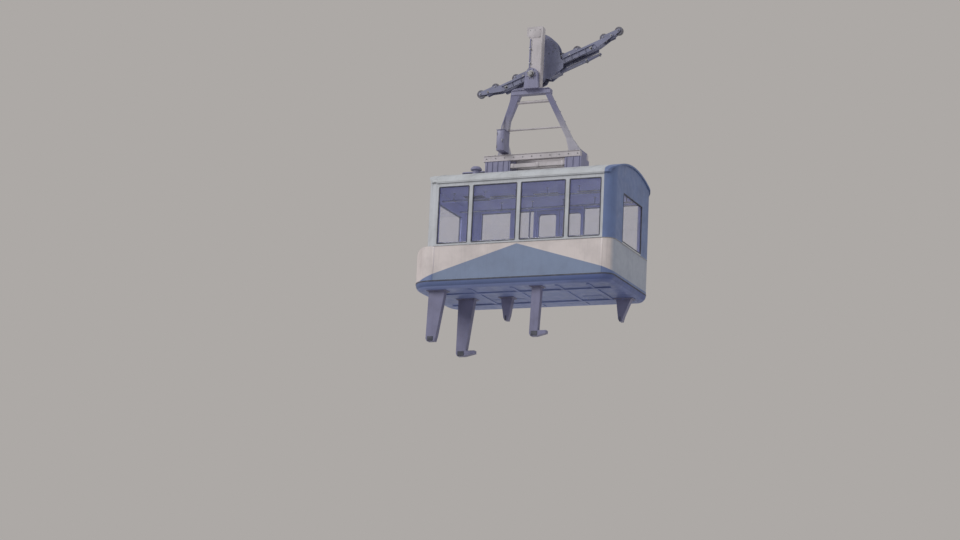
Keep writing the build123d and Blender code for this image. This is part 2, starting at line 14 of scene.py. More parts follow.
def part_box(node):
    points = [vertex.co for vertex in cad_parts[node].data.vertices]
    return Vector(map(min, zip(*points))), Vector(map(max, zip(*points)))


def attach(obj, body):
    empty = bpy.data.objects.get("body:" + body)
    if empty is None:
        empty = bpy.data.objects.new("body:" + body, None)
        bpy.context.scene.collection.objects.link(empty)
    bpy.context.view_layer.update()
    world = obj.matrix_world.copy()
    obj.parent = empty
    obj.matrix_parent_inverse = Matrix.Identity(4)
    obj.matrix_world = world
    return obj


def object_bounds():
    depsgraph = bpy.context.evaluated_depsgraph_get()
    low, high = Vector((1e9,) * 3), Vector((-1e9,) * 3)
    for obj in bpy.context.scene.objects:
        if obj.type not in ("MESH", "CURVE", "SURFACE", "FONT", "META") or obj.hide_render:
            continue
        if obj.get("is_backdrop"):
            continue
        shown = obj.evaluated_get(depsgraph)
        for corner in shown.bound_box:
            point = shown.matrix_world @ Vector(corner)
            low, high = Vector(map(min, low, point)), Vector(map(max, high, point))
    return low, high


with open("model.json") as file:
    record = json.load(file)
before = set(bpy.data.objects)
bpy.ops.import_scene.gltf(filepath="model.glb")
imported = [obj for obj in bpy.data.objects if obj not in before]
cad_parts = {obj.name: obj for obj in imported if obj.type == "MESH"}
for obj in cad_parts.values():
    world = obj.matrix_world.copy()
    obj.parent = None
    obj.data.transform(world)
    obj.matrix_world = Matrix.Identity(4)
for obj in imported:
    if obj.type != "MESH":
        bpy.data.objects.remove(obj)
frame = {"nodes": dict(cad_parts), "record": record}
cad_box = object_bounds()
nodes = frame["nodes"]
record = frame["record"]

# %% [markdown]
# Every place below is worked out from the frame, so that a piece lands on what carries it. The
# cabin's underside is the bottom of its pan, and levels count upwards from there.

# %% Driving places
MM = 0.001
pan_low, pan_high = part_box("under_pan")
BASE = pan_low[2]
PAN_LEVEL = pan_high[2]
HALF_W = pan_high[1]
TAIL_X = pan_high[0]
NOSE_X = pan_low[0]
header_low, header_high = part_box("window_headers")
EAVE = header_high[2]
FLAT_X = header_high[0]
post_low, post_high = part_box("corner_posts")
HALF_L = post_high[0]
SILL = post_low[2]
print("belt", round(TAIL_X - NOSE_X, 3), "m long,", round(2 * HALF_W, 3), "m wide")

# %% [markdown]
# The camera stands on the ground and looks up at the car from 47 m away with a long lens, so that
# the perspective is weak. Its bearing, height angle and slight roll were found by matching the
# cabin's edges. It aims a little to the left of the cabin, which puts the car right of centre.

# %% Camera
BEARING = math.radians(22.07)
LOOK_UP = math.radians(13.6)
ROLL = math.radians(2.42)
RANGE_M = 47.08
PIXELS_PER_M = 49.62
FRAME_W = 960
FRAME_H = 540
TARGET_PX = (537.92, 243.20)
TARGET_LEVEL = 1.1
SENSOR_MM = 36.0
SEEN_M = 400

target = Vector((0, 0, BASE + TARGET_LEVEL))
right = Vector((math.cos(BEARING), math.sin(BEARING), 0))
ahead = Vector((-math.sin(BEARING), math.cos(BEARING), 0))
forward = ahead * math.cos(LOOK_UP) + Vector((0, 0, 1)) * math.sin(LOOK_UP)
up = right.cross(forward)
eye = target - forward * RANGE_M
# The image is rolled clockwise: image right and image up, as directions in space
image_right = right * math.cos(ROLL) + up * math.sin(ROLL)
image_up = up * math.cos(ROLL) - right * math.sin(ROLL)
off_x = (FRAME_W / 2 - TARGET_PX[0]) / PIXELS_PER_M
off_y = (TARGET_PX[1] - FRAME_H / 2) / PIXELS_PER_M
aim = target + image_right * off_x + image_up * off_y
gaze = (aim - eye).normalized()
side = gaze.cross(image_up).normalized()
crown = side.cross(gaze)
turn = Matrix((side, crown, -gaze)).transposed().to_4x4()
camera_data = bpy.data.cameras.new("camera")
camera_data.sensor_width = SENSOR_MM
camera_data.lens = PIXELS_PER_M * RANGE_M / FRAME_W * SENSOR_MM
camera_data.clip_end = SEEN_M
camera = bpy.data.objects.new("camera", camera_data)
camera.matrix_world = Matrix.Translation(eye) @ turn
bpy.context.scene.collection.objects.link(camera)
bpy.context.scene.camera = camera
print("camera at", [round(v, 2) for v in eye], "lens", round(camera_data.lens, 1))

# %% [markdown]
# Two small tools serve every material. Paint makers give colours as sRGB hex, and a shader wants
# linear numbers, so one function turns the first into the second. The other adds a node with its
# settings and links in one line, which keeps a material's recipe readable from top to bottom.

# %% Colour and node helpers


def linear(code, alpha=1.0):
    """An sRGB hex colour as linear red, green, blue and alpha."""
    parts = [int(code[i:i + 2], 16) / 255 for i in (1, 3, 5)]
    flat = [p / 12.92 if p <= 0.04045 else ((p + 0.055) / 1.055) ** 2.4 for p in parts]
    return (*flat, alpha)


def add(tree, kind, inputs=None, **settings):
    """Add a node, set its properties, and fill or link its inputs."""
    made = tree.nodes.new(kind)
    for key, value in settings.items():
        setattr(made, key, value)
    for key, value in (inputs or {}).items():
        if isinstance(value, bpy.types.NodeSocket):
            tree.links.new(value, made.inputs[key])
        else:
            made.inputs[key].default_value = value
    return made


def new_material(name):
    """An empty material and its node tree."""
    material = bpy.data.materials.new(name)
    material.use_nodes = True
    material.node_tree.nodes.clear()
    return material, material.node_tree


print("middle grey as linear numbers", [round(share, 3) for share in linear("#808080")])

# %% [markdown]
# The car hangs in hazy air over open ground. The world is one pale colour wherever the camera, a
# reflection or a view through glass meets it. For the light it is a soft sky, a little brighter
# overhead than below: haze and pale ground throw a good part of the light up, so the underside is
# shaded but never black.

# %% World
BACKDROP = "#ADA9A6"
SKY_LIGHT = "#D9DEE6"
LIGHT_BELOW = 0.58
LIGHT_ABOVE = 1.1


def make_world():
    world = bpy.data.worlds.new("hazy sky")
    bpy.context.scene.world = world
    world.use_nodes = True
    tree = world.node_tree
    tree.nodes.clear()
    rays = add(tree, "ShaderNodeLightPath")
    seen = rays.outputs["Is Camera Ray"]
    for other in ("Is Glossy Ray", "Is Transmission Ray"):
        seen = add(tree, "ShaderNodeMath", {0: seen, 1: rays.outputs[other]}, operation="MAXIMUM").outputs[0]
    place = add(tree, "ShaderNodeTexCoord")
    height = add(tree, "ShaderNodeSeparateXYZ", {0: place.outputs["Generated"]})
    ramp = add(tree, "ShaderNodeMapRange", {
        "Value": height.outputs["Z"], "From Min": -1.0, "From Max": 1.0, "To Min": LIGHT_BELOW,
        "To Max": LIGHT_ABOVE})
    sky = add(tree, "ShaderNodeBackground", {"Color": linear(SKY_LIGHT), "Strength": ramp.outputs[0]})
    plain = add(tree, "ShaderNodeBackground", {"Color": linear(BACKDROP), "Strength": 1.0})
    mix = add(tree, "ShaderNodeMixShader", {0: seen, 1: sky.outputs[0], 2: plain.outputs[0]})
    add(tree, "ShaderNodeOutputWorld", {"Surface": mix.outputs[0]})


make_world()
bpy.context.scene.view_settings.view_transform = "Standard"
print("backdrop", BACKDROP)

# %% [markdown]
# The floor is pale and lies just under the lens, so the camera sees none of it, but other views do.
# One broad soft sun gives the shapes their light side, and a weak one opens the shade near the
# camera. Both are plain: a colour renders about as it is written.

# %% Floor and lamps
FLOOR_HALF_M = 150
LENS_UP = 0.05              # the lens over the floor


def make_floor():
    bm = bmesh.new()
    bmesh.ops.create_grid(bm, x_segments=1, y_segments=1, size=FLOOR_HALF_M)
    bmesh.ops.translate(bm, vec=(0, 0, eye.z - LENS_UP), verts=bm.verts)
    mesh = bpy.data.meshes.new("floor_stage")
    bm.to_mesh(mesh)
    bm.free()
    floor = bpy.data.objects.new("floor_stage", mesh)
    bpy.context.scene.collection.objects.link(floor)
    material, tree = new_material("pale floor")
    surface = add(tree, "ShaderNodeBsdfDiffuse", {"Color": linear("#C4C0BC"), "Roughness": 1.0})
    add(tree, "ShaderNodeOutputMaterial", {"Surface": surface.outputs[0]})
    mesh.materials.append(material)
    floor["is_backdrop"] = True


def lamp(name, towards, strength, softness):
    """A soft sun: towards is the direction from the car to the lamp."""
    data = bpy.data.lights.new(name, "SUN")
    data.energy = strength
    data.angle = math.radians(softness)
    made = bpy.data.objects.new(name, data)
    made.rotation_euler = Vector(towards).to_track_quat("Z", "Y").to_euler()
    bpy.context.scene.collection.objects.link(made)


make_floor()
lamp("key", (-0.62, -0.66, 0.55), 1.4, 25)
lamp("fill", (0.2, -0.9, -0.2), 0.15, 60)
print("floor at", round(eye.z - LENS_UP, 2), "m")

# %% [markdown]
# Nearly everything here is painted sheet metal. Alkyd enamel, sprayed on pressed steel and
# aluminium, has a smooth sheen with faint orange peel, a little chalking, grey stains, rain streaks
# that run down from the seams, and chips where stones and tools hit it. One function mixes the
# colour and one the film, and each paint differs in its own numbers. Sizes are real ones: stains
# 400 mm across, streaks 40 mm apart, chips 14 mm. Orange peel is about 2 mm in life and is drawn
# at 6 mm, because a finer one would not show at this distance.

# %% Enamel
STAIN_MM = 400.0
STREAK_MM = 40.0
STREAK_DRAW = 0.05          # streaks are twenty times as long as they are wide
CHIP_MM = 14.0
PEEL_MM = 6.0
ENAMEL_IOR = 1.48
SHINIER = 0.08              # clean paint under a film's mean roughness
CHALKIER = 0.14             # weathered paint over it
PRIMER = "#7B6A62"
ROAD_GRIME = "#6E6A66"


def blend(tree, value, start, end, before, after, most=1.0):
    """Pass from one colour to another while a value rises from start to end, up to a share of most."""
    share = add(tree, "ShaderNodeMapRange", {
        "Value": value, "From Min": start, "From Max": end, "To Min": 0.0, "To Max": most})
    return add(tree, "ShaderNodeMix", {"Factor": share.outputs[0], 6: before, 7: after},
               data_type="RGBA").outputs[2]


def enamel_skin(tree, where, colour, grime, stains, streaks):
    """Enamel's colour with broad stains, rain streaks and small chips down to the primer."""
    broad = add(tree, "ShaderNodeTexNoise", {
        "Vector": where, "Scale": 1000 / STAIN_MM, "Detail": 5.0, "Roughness": 0.6})
    drawn = add(tree, "ShaderNodeMapping", {"Vector": where, "Scale": (1, 1, STREAK_DRAW)})
    runs = add(tree, "ShaderNodeTexNoise", {
        "Vector": drawn.outputs[0], "Scale": 1000 / STREAK_MM, "Detail": 2.0})
    flakes = add(tree, "ShaderNodeTexNoise", {
        "Vector": where, "Scale": 1000 / CHIP_MM, "Detail": 2.0, "Roughness": 0.7})
    stained = blend(tree, broad.outputs[0], 0.42, 0.75, linear(colour), linear(grime), stains)
    streaked = blend(tree, runs.outputs[0], 0.55, 0.8, stained, linear(grime), streaks)
    return blend(tree, flakes.outputs[0], 0.735, 0.75, streaked, linear(PRIMER), 0.8)


def enamel_film(tree, where, skin, rough):
    """The film over that colour: sheen, duller where it has chalked, and faint orange peel."""
    chalk = add(tree, "ShaderNodeTexNoise", {"Vector": where, "Scale": 3000 / STAIN_MM, "Detail": 4.0})
    dull = add(tree, "ShaderNodeMapRange", {
        "Value": chalk.outputs[0], "From Min": 0.3, "From Max": 0.7, "To Min": rough - SHINIER,
        "To Max": rough + CHALKIER})
    peel = add(tree, "ShaderNodeTexNoise", {"Vector": where, "Scale": 1000 / PEEL_MM, "Detail": 1.0})
    bump = add(tree, "ShaderNodeBump", {"Height": peel.outputs[0], "Strength": 0.08, "Distance": 0.0006})
    surface = add(tree, "ShaderNodeBsdfPrincipled", {
        "Base Color": skin, "Roughness": dull.outputs[0], "Normal": bump.outputs[0], "IOR": ENAMEL_IOR})
    add(tree, "ShaderNodeOutputMaterial", {"Surface": surface.outputs[0]})


def enamel(name, colour, grime=ROAD_GRIME, stains=0.35, streaks=0.25, rough=0.42):
    """Enamel of one colour."""
    material, tree = new_material(name)
    where = add(tree, "ShaderNodeTexCoord").outputs["Object"]
    enamel_film(tree, where, enamel_skin(tree, where, colour, grime, stains, streaks), rough)
    return material


LINING = "#B4B8EE"
LINING_GRIME = "#9496BE"
END_BLUE = "#64749B"
END_GRIME = "#4A5068"
FRAME_GREY = "#B6B7BA"
SLATE = "#807E98"
SLATE_GRIME = "#57556A"
frame_enamel = enamel("pale enamel on window frames", FRAME_GREY, stains=0.3)
lining_enamel = enamel("violet enamel on ceiling lining", LINING, LINING_GRIME, streaks=0.0, rough=0.6)
hanger_enamel = enamel("light grey enamel on hanger", "#B7AFB0")
joint_enamel = enamel("slate enamel on hanger joints", SLATE, SLATE_GRIME)
carriage_enamel = enamel("slate enamel on carriage", "#76778F", "#45444F", stains=0.45)
dock_enamel = enamel("violet-grey enamel on docking legs", "#76748F", "#4E4B5E", stains=0.45)
print("enamels", 6)

# %% [markdown]
# The cabin's walls are one sheet with paint on both sides: outside enamel outdoors, and a violet
# lining colour indoors. A face looks indoors when its own direction points back towards the cabin's
# middle line. The direction and the place are both the object's own, so the finish stays with the
# metal when the cabin swings.

# %% Walls with two sides
INDOORS = -0.05             # a level ledge scores about 0, and a face that looks indoors less than this


def facing_in(tree, place):
    """1 on faces that look towards the cabin's middle, 0 on the others."""
    across = add(tree, "ShaderNodeVectorMath", {0: place.outputs["Object"], 1: (1, 1, 0)},
                 operation="MULTIPLY")
    outward = add(tree, "ShaderNodeVectorMath", {0: across.outputs[0], 1: place.outputs["Normal"]},
                  operation="DOT_PRODUCT")
    return add(tree, "ShaderNodeMath", {0: outward.outputs["Value"], 1: INDOORS},
               operation="LESS_THAN").outputs[0]


def lining_colour(tree, where):
    return enamel_skin(tree, where, LINING, LINING_GRIME, 0.3, 0.0)


def wall_enamel(name, outside, rough=0.4):
    """Lining colour indoors, and outdoors the colour that the function outside gives."""
    material, tree = new_material(name)
    place = add(tree, "ShaderNodeTexCoord")
    where = place.outputs["Object"]
    skin = add(tree, "ShaderNodeMix", {
        "Factor": facing_in(tree, place), 6: outside(tree, where), 7: lining_colour(tree, where)},
        data_type="RGBA")
    enamel_film(tree, where, skin.outputs[2], rough)
    return material


print("a face is indoors when it scores under", INDOORS)

# %% [markdown]
# Several parts wear two colours, sprayed against tape on the real car. The end walls are blue at
# both ends. At the uphill end the rounded corners and the strip of roof are blue as well, which is
# painted shade; at the downhill end the corners keep the frames' pale grey. A taped edge is drawn
# 8 mm soft, because a hard step would flicker at this distance.

# %% End, corner and roof colours
TAPE_SOFT = 0.004           # half width of a taped edge
TURN_X = 1.80               # the roof turns blue here as painted shade, and the belt's triangle grows steeper
PILLAR_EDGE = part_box("end_pillars")[1][1]


def taped(tree, value, edge, before, after):
    """One colour before a taped edge and another past it."""
    return blend(tree, value, edge - TAPE_SOFT, edge + TAPE_SOFT, before, after)


def from_middle(tree, where, axis):
    """How far a point lies from the cabin's middle along an axis, to either side."""
    axes = add(tree, "ShaderNodeSeparateXYZ", {0: where})
    return add(tree, "ShaderNodeMath", {0: axes.outputs[axis]}, operation="ABSOLUTE").outputs[0]


def end_colour(tree, where):
    return enamel_skin(tree, where, END_BLUE, END_GRIME, 0.35, 0.2)


def frame_colour(tree, where):
    return enamel_skin(tree, where, FRAME_GREY, ROAD_GRIME, 0.3, 0.25)


# Pale grey on the downhill corners; the blue on the uphill corners is painted shade.
def corner_colour(tree, where):
    axes = add(tree, "ShaderNodeSeparateXYZ", {0: where})
    return taped(tree, axes.outputs["X"], 0.0, frame_colour(tree, where), end_colour(tree, where))


def arch_colour(tree, where):
    """Blue, but at the rounded corners the colour of the posts under them."""
    away = from_middle(tree, where, "Y")
    return taped(tree, away, PILLAR_EDGE, end_colour(tree, where), corner_colour(tree, where))


def roof_enamel():
    material, tree = new_material("pale enamel on roof sheet, blue at the uphill end")
    where = add(tree, "ShaderNodeTexCoord").outputs["Object"]
    axes = add(tree, "ShaderNodeSeparateXYZ", {0: where})
    pale = enamel_skin(tree, where, "#B6B7B8", "#7C7976", 0.42, 0.2)
    # the blue strip of roof past TURN_X is painted shade on the uphill end
    enamel_film(tree, where, taped(tree, axes.outputs["X"], TURN_X, pale, end_colour(tree, where)), 0.5)
    return material


end_enamel = wall_enamel("blue enamel on end walls", end_colour)
corner_enamel = wall_enamel("enamel on rounded corners, blue as painted shade uphill", corner_colour)
arch_enamel = wall_enamel("enamel on end headers", arch_colour)
header_enamel = wall_enamel("pale enamel on window headers", frame_colour)
roof_sheet = roof_enamel()
print("end, corner and roof enamels", 5)

# %% [markdown]
# The belt is warm white over blue. The blue is a wide triangle whose point is just under the sill.
# Its edges fall to the corners, turn steeper there and run out in a low stripe, so the edge is one
# slope less a second one that starts at the turn. On the uphill end wall the white is greyed as
# painted shade, and past the flat sides the blue is darker, painted shade on both ends.

# %% Belt colours
BELT_WHITE = "#CBBFBA"
BELT_BLUE = "#74819A"
BELT_WHITE_IN_PAINTED_SHADE = "#9A9EA8"
APEX_LEVEL = 0.83
TURN_LEVEL = 0.29
STRIPE_X = 2.10
STRIPE_LEVEL = 0.17
PAINTED_SHADE_FADE = 0.06             # the painted shade starts this far before the end wall, round the corner


def body_blue(tree, where):
    """The triangle's light blue, with a darker blue on the panels of both ends as painted shade."""
    light = enamel_skin(tree, where, BELT_BLUE, "#5C6478", 0.4, 0.2)
    return taped(tree, from_middle(tree, where, "X"), FLAT_X, light, end_colour(tree, where))


def triangle_edge(tree, where):
    """The level of the blue's upper edge."""
    away = from_middle(tree, where, "X")
    slope = add(tree, "ShaderNodeMapRange", {
        "Value": away, "From Min": 0.0, "From Max": TURN_X, "To Min": BASE + APEX_LEVEL,
        "To Max": BASE + TURN_LEVEL})
    dip = add(tree, "ShaderNodeMapRange", {
        "Value": away, "From Min": TURN_X, "From Max": STRIPE_X, "To Min": 0.0,
        "To Max": TURN_LEVEL - STRIPE_LEVEL})
    return add(tree, "ShaderNodeMath", {0: slope.outputs[0], 1: dip.outputs[0]},
               operation="SUBTRACT").outputs[0]


def belt_colour(tree, where):
    clean = enamel_skin(tree, where, BELT_WHITE, "#8E8582", 0.35, 0.25)
    painted_shade = enamel_skin(tree, where, BELT_WHITE_IN_PAINTED_SHADE, "#7C8090", 0.5, 0.4)
    axes = add(tree, "ShaderNodeSeparateXYZ", {0: where})
    # the white turns grey on the uphill end wall: painted shade
    white = blend(tree, axes.outputs["X"], HALF_L - PAINTED_SHADE_FADE, HALF_L - 5 * MM, clean, painted_shade)
    depth = add(tree, "ShaderNodeMath", {0: triangle_edge(tree, where), 1: axes.outputs["Z"]},
                operation="SUBTRACT")
    return taped(tree, depth.outputs[0], 0.0, white, body_blue(tree, where))


belt_enamel = wall_enamel("warm white enamel with blue triangle", belt_colour)
print("triangle", APEX_LEVEL - TURN_LEVEL, "m high to its turn")

# %% [markdown]
# The pan's rolled side is dark blue and its belly a lighter blue, painted light that stands in for
# the light thrown up from below. Both darken towards the uphill end, which is painted shade. The
# hanger's legs are slate at the yoke and paler towards the roof. Both are slow changes and not taped
# ones, so they fade over a good part of the piece.

# %% Pan and leg enamels
BELLY_EDGE = 0.045          # level where the pan's side turns into its belly
PAN_SHADE_X = 0.6
PAN_SHADE_MOST = 0.7
LEG_PALE_LEVEL = 3.42
LEG_SLATE_LEVEL = 3.78


def pan_enamel():
    material, tree = new_material("two blue enamels on under pan, painted shade uphill")
    where = add(tree, "ShaderNodeTexCoord").outputs["Object"]
    axes = add(tree, "ShaderNodeSeparateXYZ", {0: where})
    # the belly's paler blue is painted light from below
    belly = enamel_skin(tree, where, "#818DBA", "#626C92", 0.45, 0.0)
    rim = enamel_skin(tree, where, "#5A678E", END_GRIME, 0.35, 0.2)
    painted_shade = enamel_skin(tree, where, "#4A578C", END_GRIME, 0.45, 0.0)
    clean = taped(tree, axes.outputs["Z"], BASE + BELLY_EDGE, belly, rim)
    # painted shade: darker towards the uphill end
    skin = blend(tree, axes.outputs["X"], PAN_SHADE_X, HALF_L, clean, painted_shade, PAN_SHADE_MOST)
    enamel_film(tree, where, skin, 0.45)
    return material


def leg_enamel():
    material, tree = new_material("slate enamel on hanger legs, paler below")
    where = add(tree, "ShaderNodeTexCoord").outputs["Object"]
    axes = add(tree, "ShaderNodeSeparateXYZ", {0: where})
    slate = enamel_skin(tree, where, SLATE, SLATE_GRIME, 0.35, 0.25)
    pale = enamel_skin(tree, where, "#A8A4AC", "#7A7680", 0.35, 0.25)
    skin = blend(tree, axes.outputs["Z"], BASE + LEG_PALE_LEVEL, BASE + LEG_SLATE_LEVEL, pale, slate)
    enamel_film(tree, where, skin, 0.42)
    return material


pan_paint = pan_enamel()
leg_paint = leg_enamel()
print("legs fade over", round(LEG_SLATE_LEVEL - LEG_PALE_LEVEL, 2), "m")

# %% [markdown]
# The bare metals are few. The pins are turned steel, with fine rings round them. The handrails are
# stainless tube, polished by hands. The wheels are cast iron: a dull, slightly pitted skin with rust
# in its hollows, and their treads are worn bright in use. Cast grain is 3 mm, drawn at 5 mm.

# %% Bare metals
PATCH_MM = 60.0


def bare_metal(name, colour, dark, rough, grain_mm, draw=(1, 1, 1), metallic=1.0):
    """Metal whose grain changes its gloss, with darker patches where oil and dust have settled."""
    material, tree = new_material(name)
    where = add(tree, "ShaderNodeTexCoord").outputs["Object"]
    drawn = add(tree, "ShaderNodeMapping", {"Vector": where, "Scale": draw})
    grain = add(tree, "ShaderNodeTexNoise", {
        "Vector": drawn.outputs[0], "Scale": 1000 / grain_mm, "Detail": 3.0})
    gloss = add(tree, "ShaderNodeMapRange", {
        "Value": grain.outputs[0], "From Min": 0.3, "From Max": 0.7, "To Min": rough - 0.08,
        "To Max": rough + 0.1})
    bump = add(tree, "ShaderNodeBump", {"Height": grain.outputs[0], "Strength": 0.15, "Distance": 0.0004})
    patches = add(tree, "ShaderNodeTexNoise", {"Vector": where, "Scale": 1000 / PATCH_MM, "Detail": 3.0})
    skin = blend(tree, patches.outputs[0], 0.4, 0.7, linear(colour), linear(dark), 0.6)
    surface = add(tree, "ShaderNodeBsdfPrincipled", {
        "Base Color": skin, "Metallic": metallic, "Roughness": gloss.outputs[0],
        "Normal": bump.outputs[0]})
    add(tree, "ShaderNodeOutputMaterial", {"Surface": surface.outputs[0]})
    return material


turned_steel = bare_metal("turned steel", "#98989C", "#6A6766", 0.3, 3, draw=(1, 8, 1))
polished_tube = bare_metal("hand-polished stainless tube", "#B4B5B9", "#8A8A8E", 0.22, 4)
cast_iron = bare_metal("cast iron", "#74747F", "#5F524E", 0.68, 5, metallic=0.5)
worn_tread = bare_metal("rope-worn steel tread", "#A6A6AA", "#77757A", 0.38, 3)
zinc_bolt = bare_metal("zinc-plated steel fastener", "#8F9096", "#6E665F", 0.4, 2)
print("metals", 5)

# %% [markdown]
# Rubber comes twice: ribbed sheet on the floor, moulded with a rib every 20 mm, and black extruded
# gasket round the glass. Both have lost their shine, and pale dust sits on them. The ribs are a wave
# pattern that lifts the surface in bands, so a wide floor needs no modelled ribs.

# %% Rubber
WAVE_M = math.pi / 10       # a wave pattern of scale 1 repeats after this many metres
DUST_GREY = "#77757A"


def rubber(name, colour, rib_mm=0.0):
    """Dusty matt rubber. A rib width adds ribs that run along X."""
    material, tree = new_material(name)
    where = add(tree, "ShaderNodeTexCoord").outputs["Object"]
    dust = add(tree, "ShaderNodeTexNoise", {"Vector": where, "Scale": 1000 / 90, "Detail": 4.0})
    skin = blend(tree, dust.outputs[0], 0.4, 0.7, linear(colour), linear(DUST_GREY), 0.4)
    pores = add(tree, "ShaderNodeTexNoise", {"Vector": where, "Scale": 1000 / 4, "Detail": 2.0})
    bump = add(tree, "ShaderNodeBump", {"Height": pores.outputs[0], "Strength": 0.1, "Distance": 0.0005})
    if rib_mm:
        ribs = add(tree, "ShaderNodeTexWave", {"Vector": where, "Scale": 1000 * WAVE_M / rib_mm},
                   bands_direction="Y")
        bump = add(tree, "ShaderNodeBump", {
            "Height": ribs.outputs[1], "Strength": 0.6, "Distance": 0.002, "Normal": bump.outputs[0]})
    surface = add(tree, "ShaderNodeBsdfPrincipled", {
        "Base Color": skin, "Roughness": 0.8, "Normal": bump.outputs[0], "IOR": 1.52})
    add(tree, "ShaderNodeOutputMaterial", {"Surface": surface.outputs[0]})
    return material


floor_rubber = rubber("ribbed rubber sheet", "#8C8C98", rib_mm=20.0)
gasket_rubber = rubber("black extruded rubber", "#43444E")
print("rubbers", 2)

# %% [markdown]
# The window glass is flat toughened sheet: clear, with a thin reflection of the sky and a film of
# road dust, which is what makes the photographed windows paler than the shade behind them. Each pane
# is a thin solid. A ray that is already in it would be mirrored for ever, so the back of a face is
# only clear. The lamps' covers are opal acrylic: milky, finely ribbed and lit only by the day.

# %% Glass and lamp plastic
LAMP_RIB_MM = 12.0


def toughened_glass():
    material, tree = new_material("dusty toughened glass")
    where = add(tree, "ShaderNodeTexCoord").outputs["Object"]
    clear = add(tree, "ShaderNodeBsdfTransparent", {"Color": linear("#FCFCFE")})
    gloss = add(tree, "ShaderNodeBsdfGlossy", {"Color": linear("#FFFFFF"), "Roughness": 0.04})
    fresnel = add(tree, "ShaderNodeFresnel", {"IOR": 1.52})
    leaving = add(tree, "ShaderNodeNewGeometry").outputs["Backfacing"]
    entering = add(tree, "ShaderNodeMath", {0: 1.0, 1: leaving}, operation="SUBTRACT")
    mirror = add(tree, "ShaderNodeMath", {0: fresnel.outputs[0], 1: entering.outputs[0]},
                 operation="MULTIPLY")
    pane = add(tree, "ShaderNodeMixShader", {0: mirror.outputs[0], 1: clear.outputs[0], 2: gloss.outputs[0]})
    dust = add(tree, "ShaderNodeTexNoise", {
        "Vector": where, "Scale": 1000 / 250, "Detail": 5.0, "Roughness": 0.6})
    share = add(tree, "ShaderNodeMapRange", {
        "Value": dust.outputs[0], "From Min": 0.35, "From Max": 0.75, "To Min": 0.05, "To Max": 0.10})
    film = add(tree, "ShaderNodeBsdfDiffuse", {"Color": linear("#CDD2EA")})
    both = add(tree, "ShaderNodeMixShader", {0: share.outputs[0], 1: pane.outputs[0], 2: film.outputs[0]})
    add(tree, "ShaderNodeOutputMaterial", {"Surface": both.outputs[0]})
    return material


def moulded_acrylic():
    material, tree = new_material("opal moulded acrylic")
    where = add(tree, "ShaderNodeTexCoord").outputs["Object"]
    ribs = add(tree, "ShaderNodeTexWave", {"Vector": where, "Scale": 1000 * WAVE_M / LAMP_RIB_MM},
               bands_direction="X")
    bump = add(tree, "ShaderNodeBump", {"Height": ribs.outputs[1], "Strength": 0.4, "Distance": 0.001})
    dust = add(tree, "ShaderNodeTexNoise", {"Vector": where, "Scale": 1000 / 120, "Detail": 4.0})
    skin = add(tree, "ShaderNodeMix", {
        "Factor": dust.outputs[0], 6: linear("#DAD8D2"), 7: linear("#B4B0A8")}, data_type="RGBA")
    surface = add(tree, "ShaderNodeBsdfPrincipled", {
        "Base Color": skin.outputs[2], "Roughness": 0.35, "IOR": 1.49, "Normal": bump.outputs[0]})
    add(tree, "ShaderNodeOutputMaterial", {"Surface": surface.outputs[0]})
    return material


window_glass = toughened_glass()
lamp_acrylic = moulded_acrylic()
print("glass and acrylic", 2)

# %% [markdown]
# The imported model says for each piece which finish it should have, by the name of a slot. A table
# turns those names into the materials made above. Three pieces wear more colours than their slot
# tells, so they have finishes of their own.

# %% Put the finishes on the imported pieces
FINISHES = {
    "belt_paint": belt_enamel, "underside_paint": pan_paint, "frame_paint": header_enamel,
    "end_paint": end_enamel, "roof_paint": roof_sheet, "lining": lining_enamel,
    "floor_rubber": floor_rubber, "hanger_paint": hanger_enamel, "hanger_dark": joint_enamel,
    "carriage_paint": carriage_enamel, "wheel_iron": cast_iron, "pin_steel": turned_steel,
    "rail_steel": polished_tube, "window_glass": window_glass, "door_paint": belt_enamel,
    "dock_paint": dock_enamel,
}
OWN_FINISHES = {"corner_posts": corner_enamel, "end_headers": arch_enamel, "hanger_legs": leg_paint}
for part in record["subparts"]:
    finish = OWN_FINISHES.get(part["node"], FINISHES[part["material_slot"]])
    for holder in nodes[part["node"]].material_slots:
        holder.material = finish
print("finished", len(record["subparts"]), "packed pieces")

# %% [markdown]
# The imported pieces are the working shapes. What follows is what a fitter adds: gaskets, strips,
# rivets, bolts, hinges and covers. They are made of a few forms again and again, so each form gets
# one small helper: a block with softened edges, a round bar or washer, a bolt and a rivet. Each
# helper adds its form to an open mesh, and the finished mesh becomes one piece.

# %% Helpers for solid forms
SHARP = math.radians(26)     # softened edges stay crisp, and a round of 16 sides stays smooth


def new_piece(bm, name, finish, body):
    """Turn an open mesh into a piece that rides on a body."""
    bmesh.ops.recalc_face_normals(bm, faces=bm.faces)
    for face in bm.faces:
        face.smooth = True
    for edge in bm.edges:
        edge.smooth = edge.calc_face_angle(0.0) < SHARP
    faces = len(bm.faces)
    mesh = bpy.data.meshes.new(name)
    bm.to_mesh(mesh)
    bm.free()
    mesh.materials.append(finish)
    piece = bpy.data.objects.new(name, mesh)
    bpy.context.scene.collection.objects.link(piece)
    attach(piece, body)
    print(name, faces, "faces on", body)
    return piece


def block(bm, corner, opposite, round_off=0.0, place=None):
    """A box between two opposite corners, in any order, its edges rounded off."""
    low = [min(pair) for pair in zip(corner, opposite)]
    high = [max(pair) for pair in zip(corner, opposite)]
    verts = bmesh.ops.create_cube(bm, size=1.0)["verts"]
    bmesh.ops.scale(bm, vec=[b - a for a, b in zip(low, high)], verts=verts)
    bmesh.ops.translate(bm, vec=[(a + b) / 2 for a, b in zip(low, high)], verts=verts)
    if round_off:
        edges = list({edge for vert in verts for edge in vert.link_edges})
        verts = bmesh.ops.bevel(bm, geom=edges, offset=round_off, offset_type="OFFSET", segments=2,
                                profile=0.5, affect="EDGES", material=-1)["verts"]
    if place is not None:
        bmesh.ops.transform(bm, matrix=place, verts=verts)


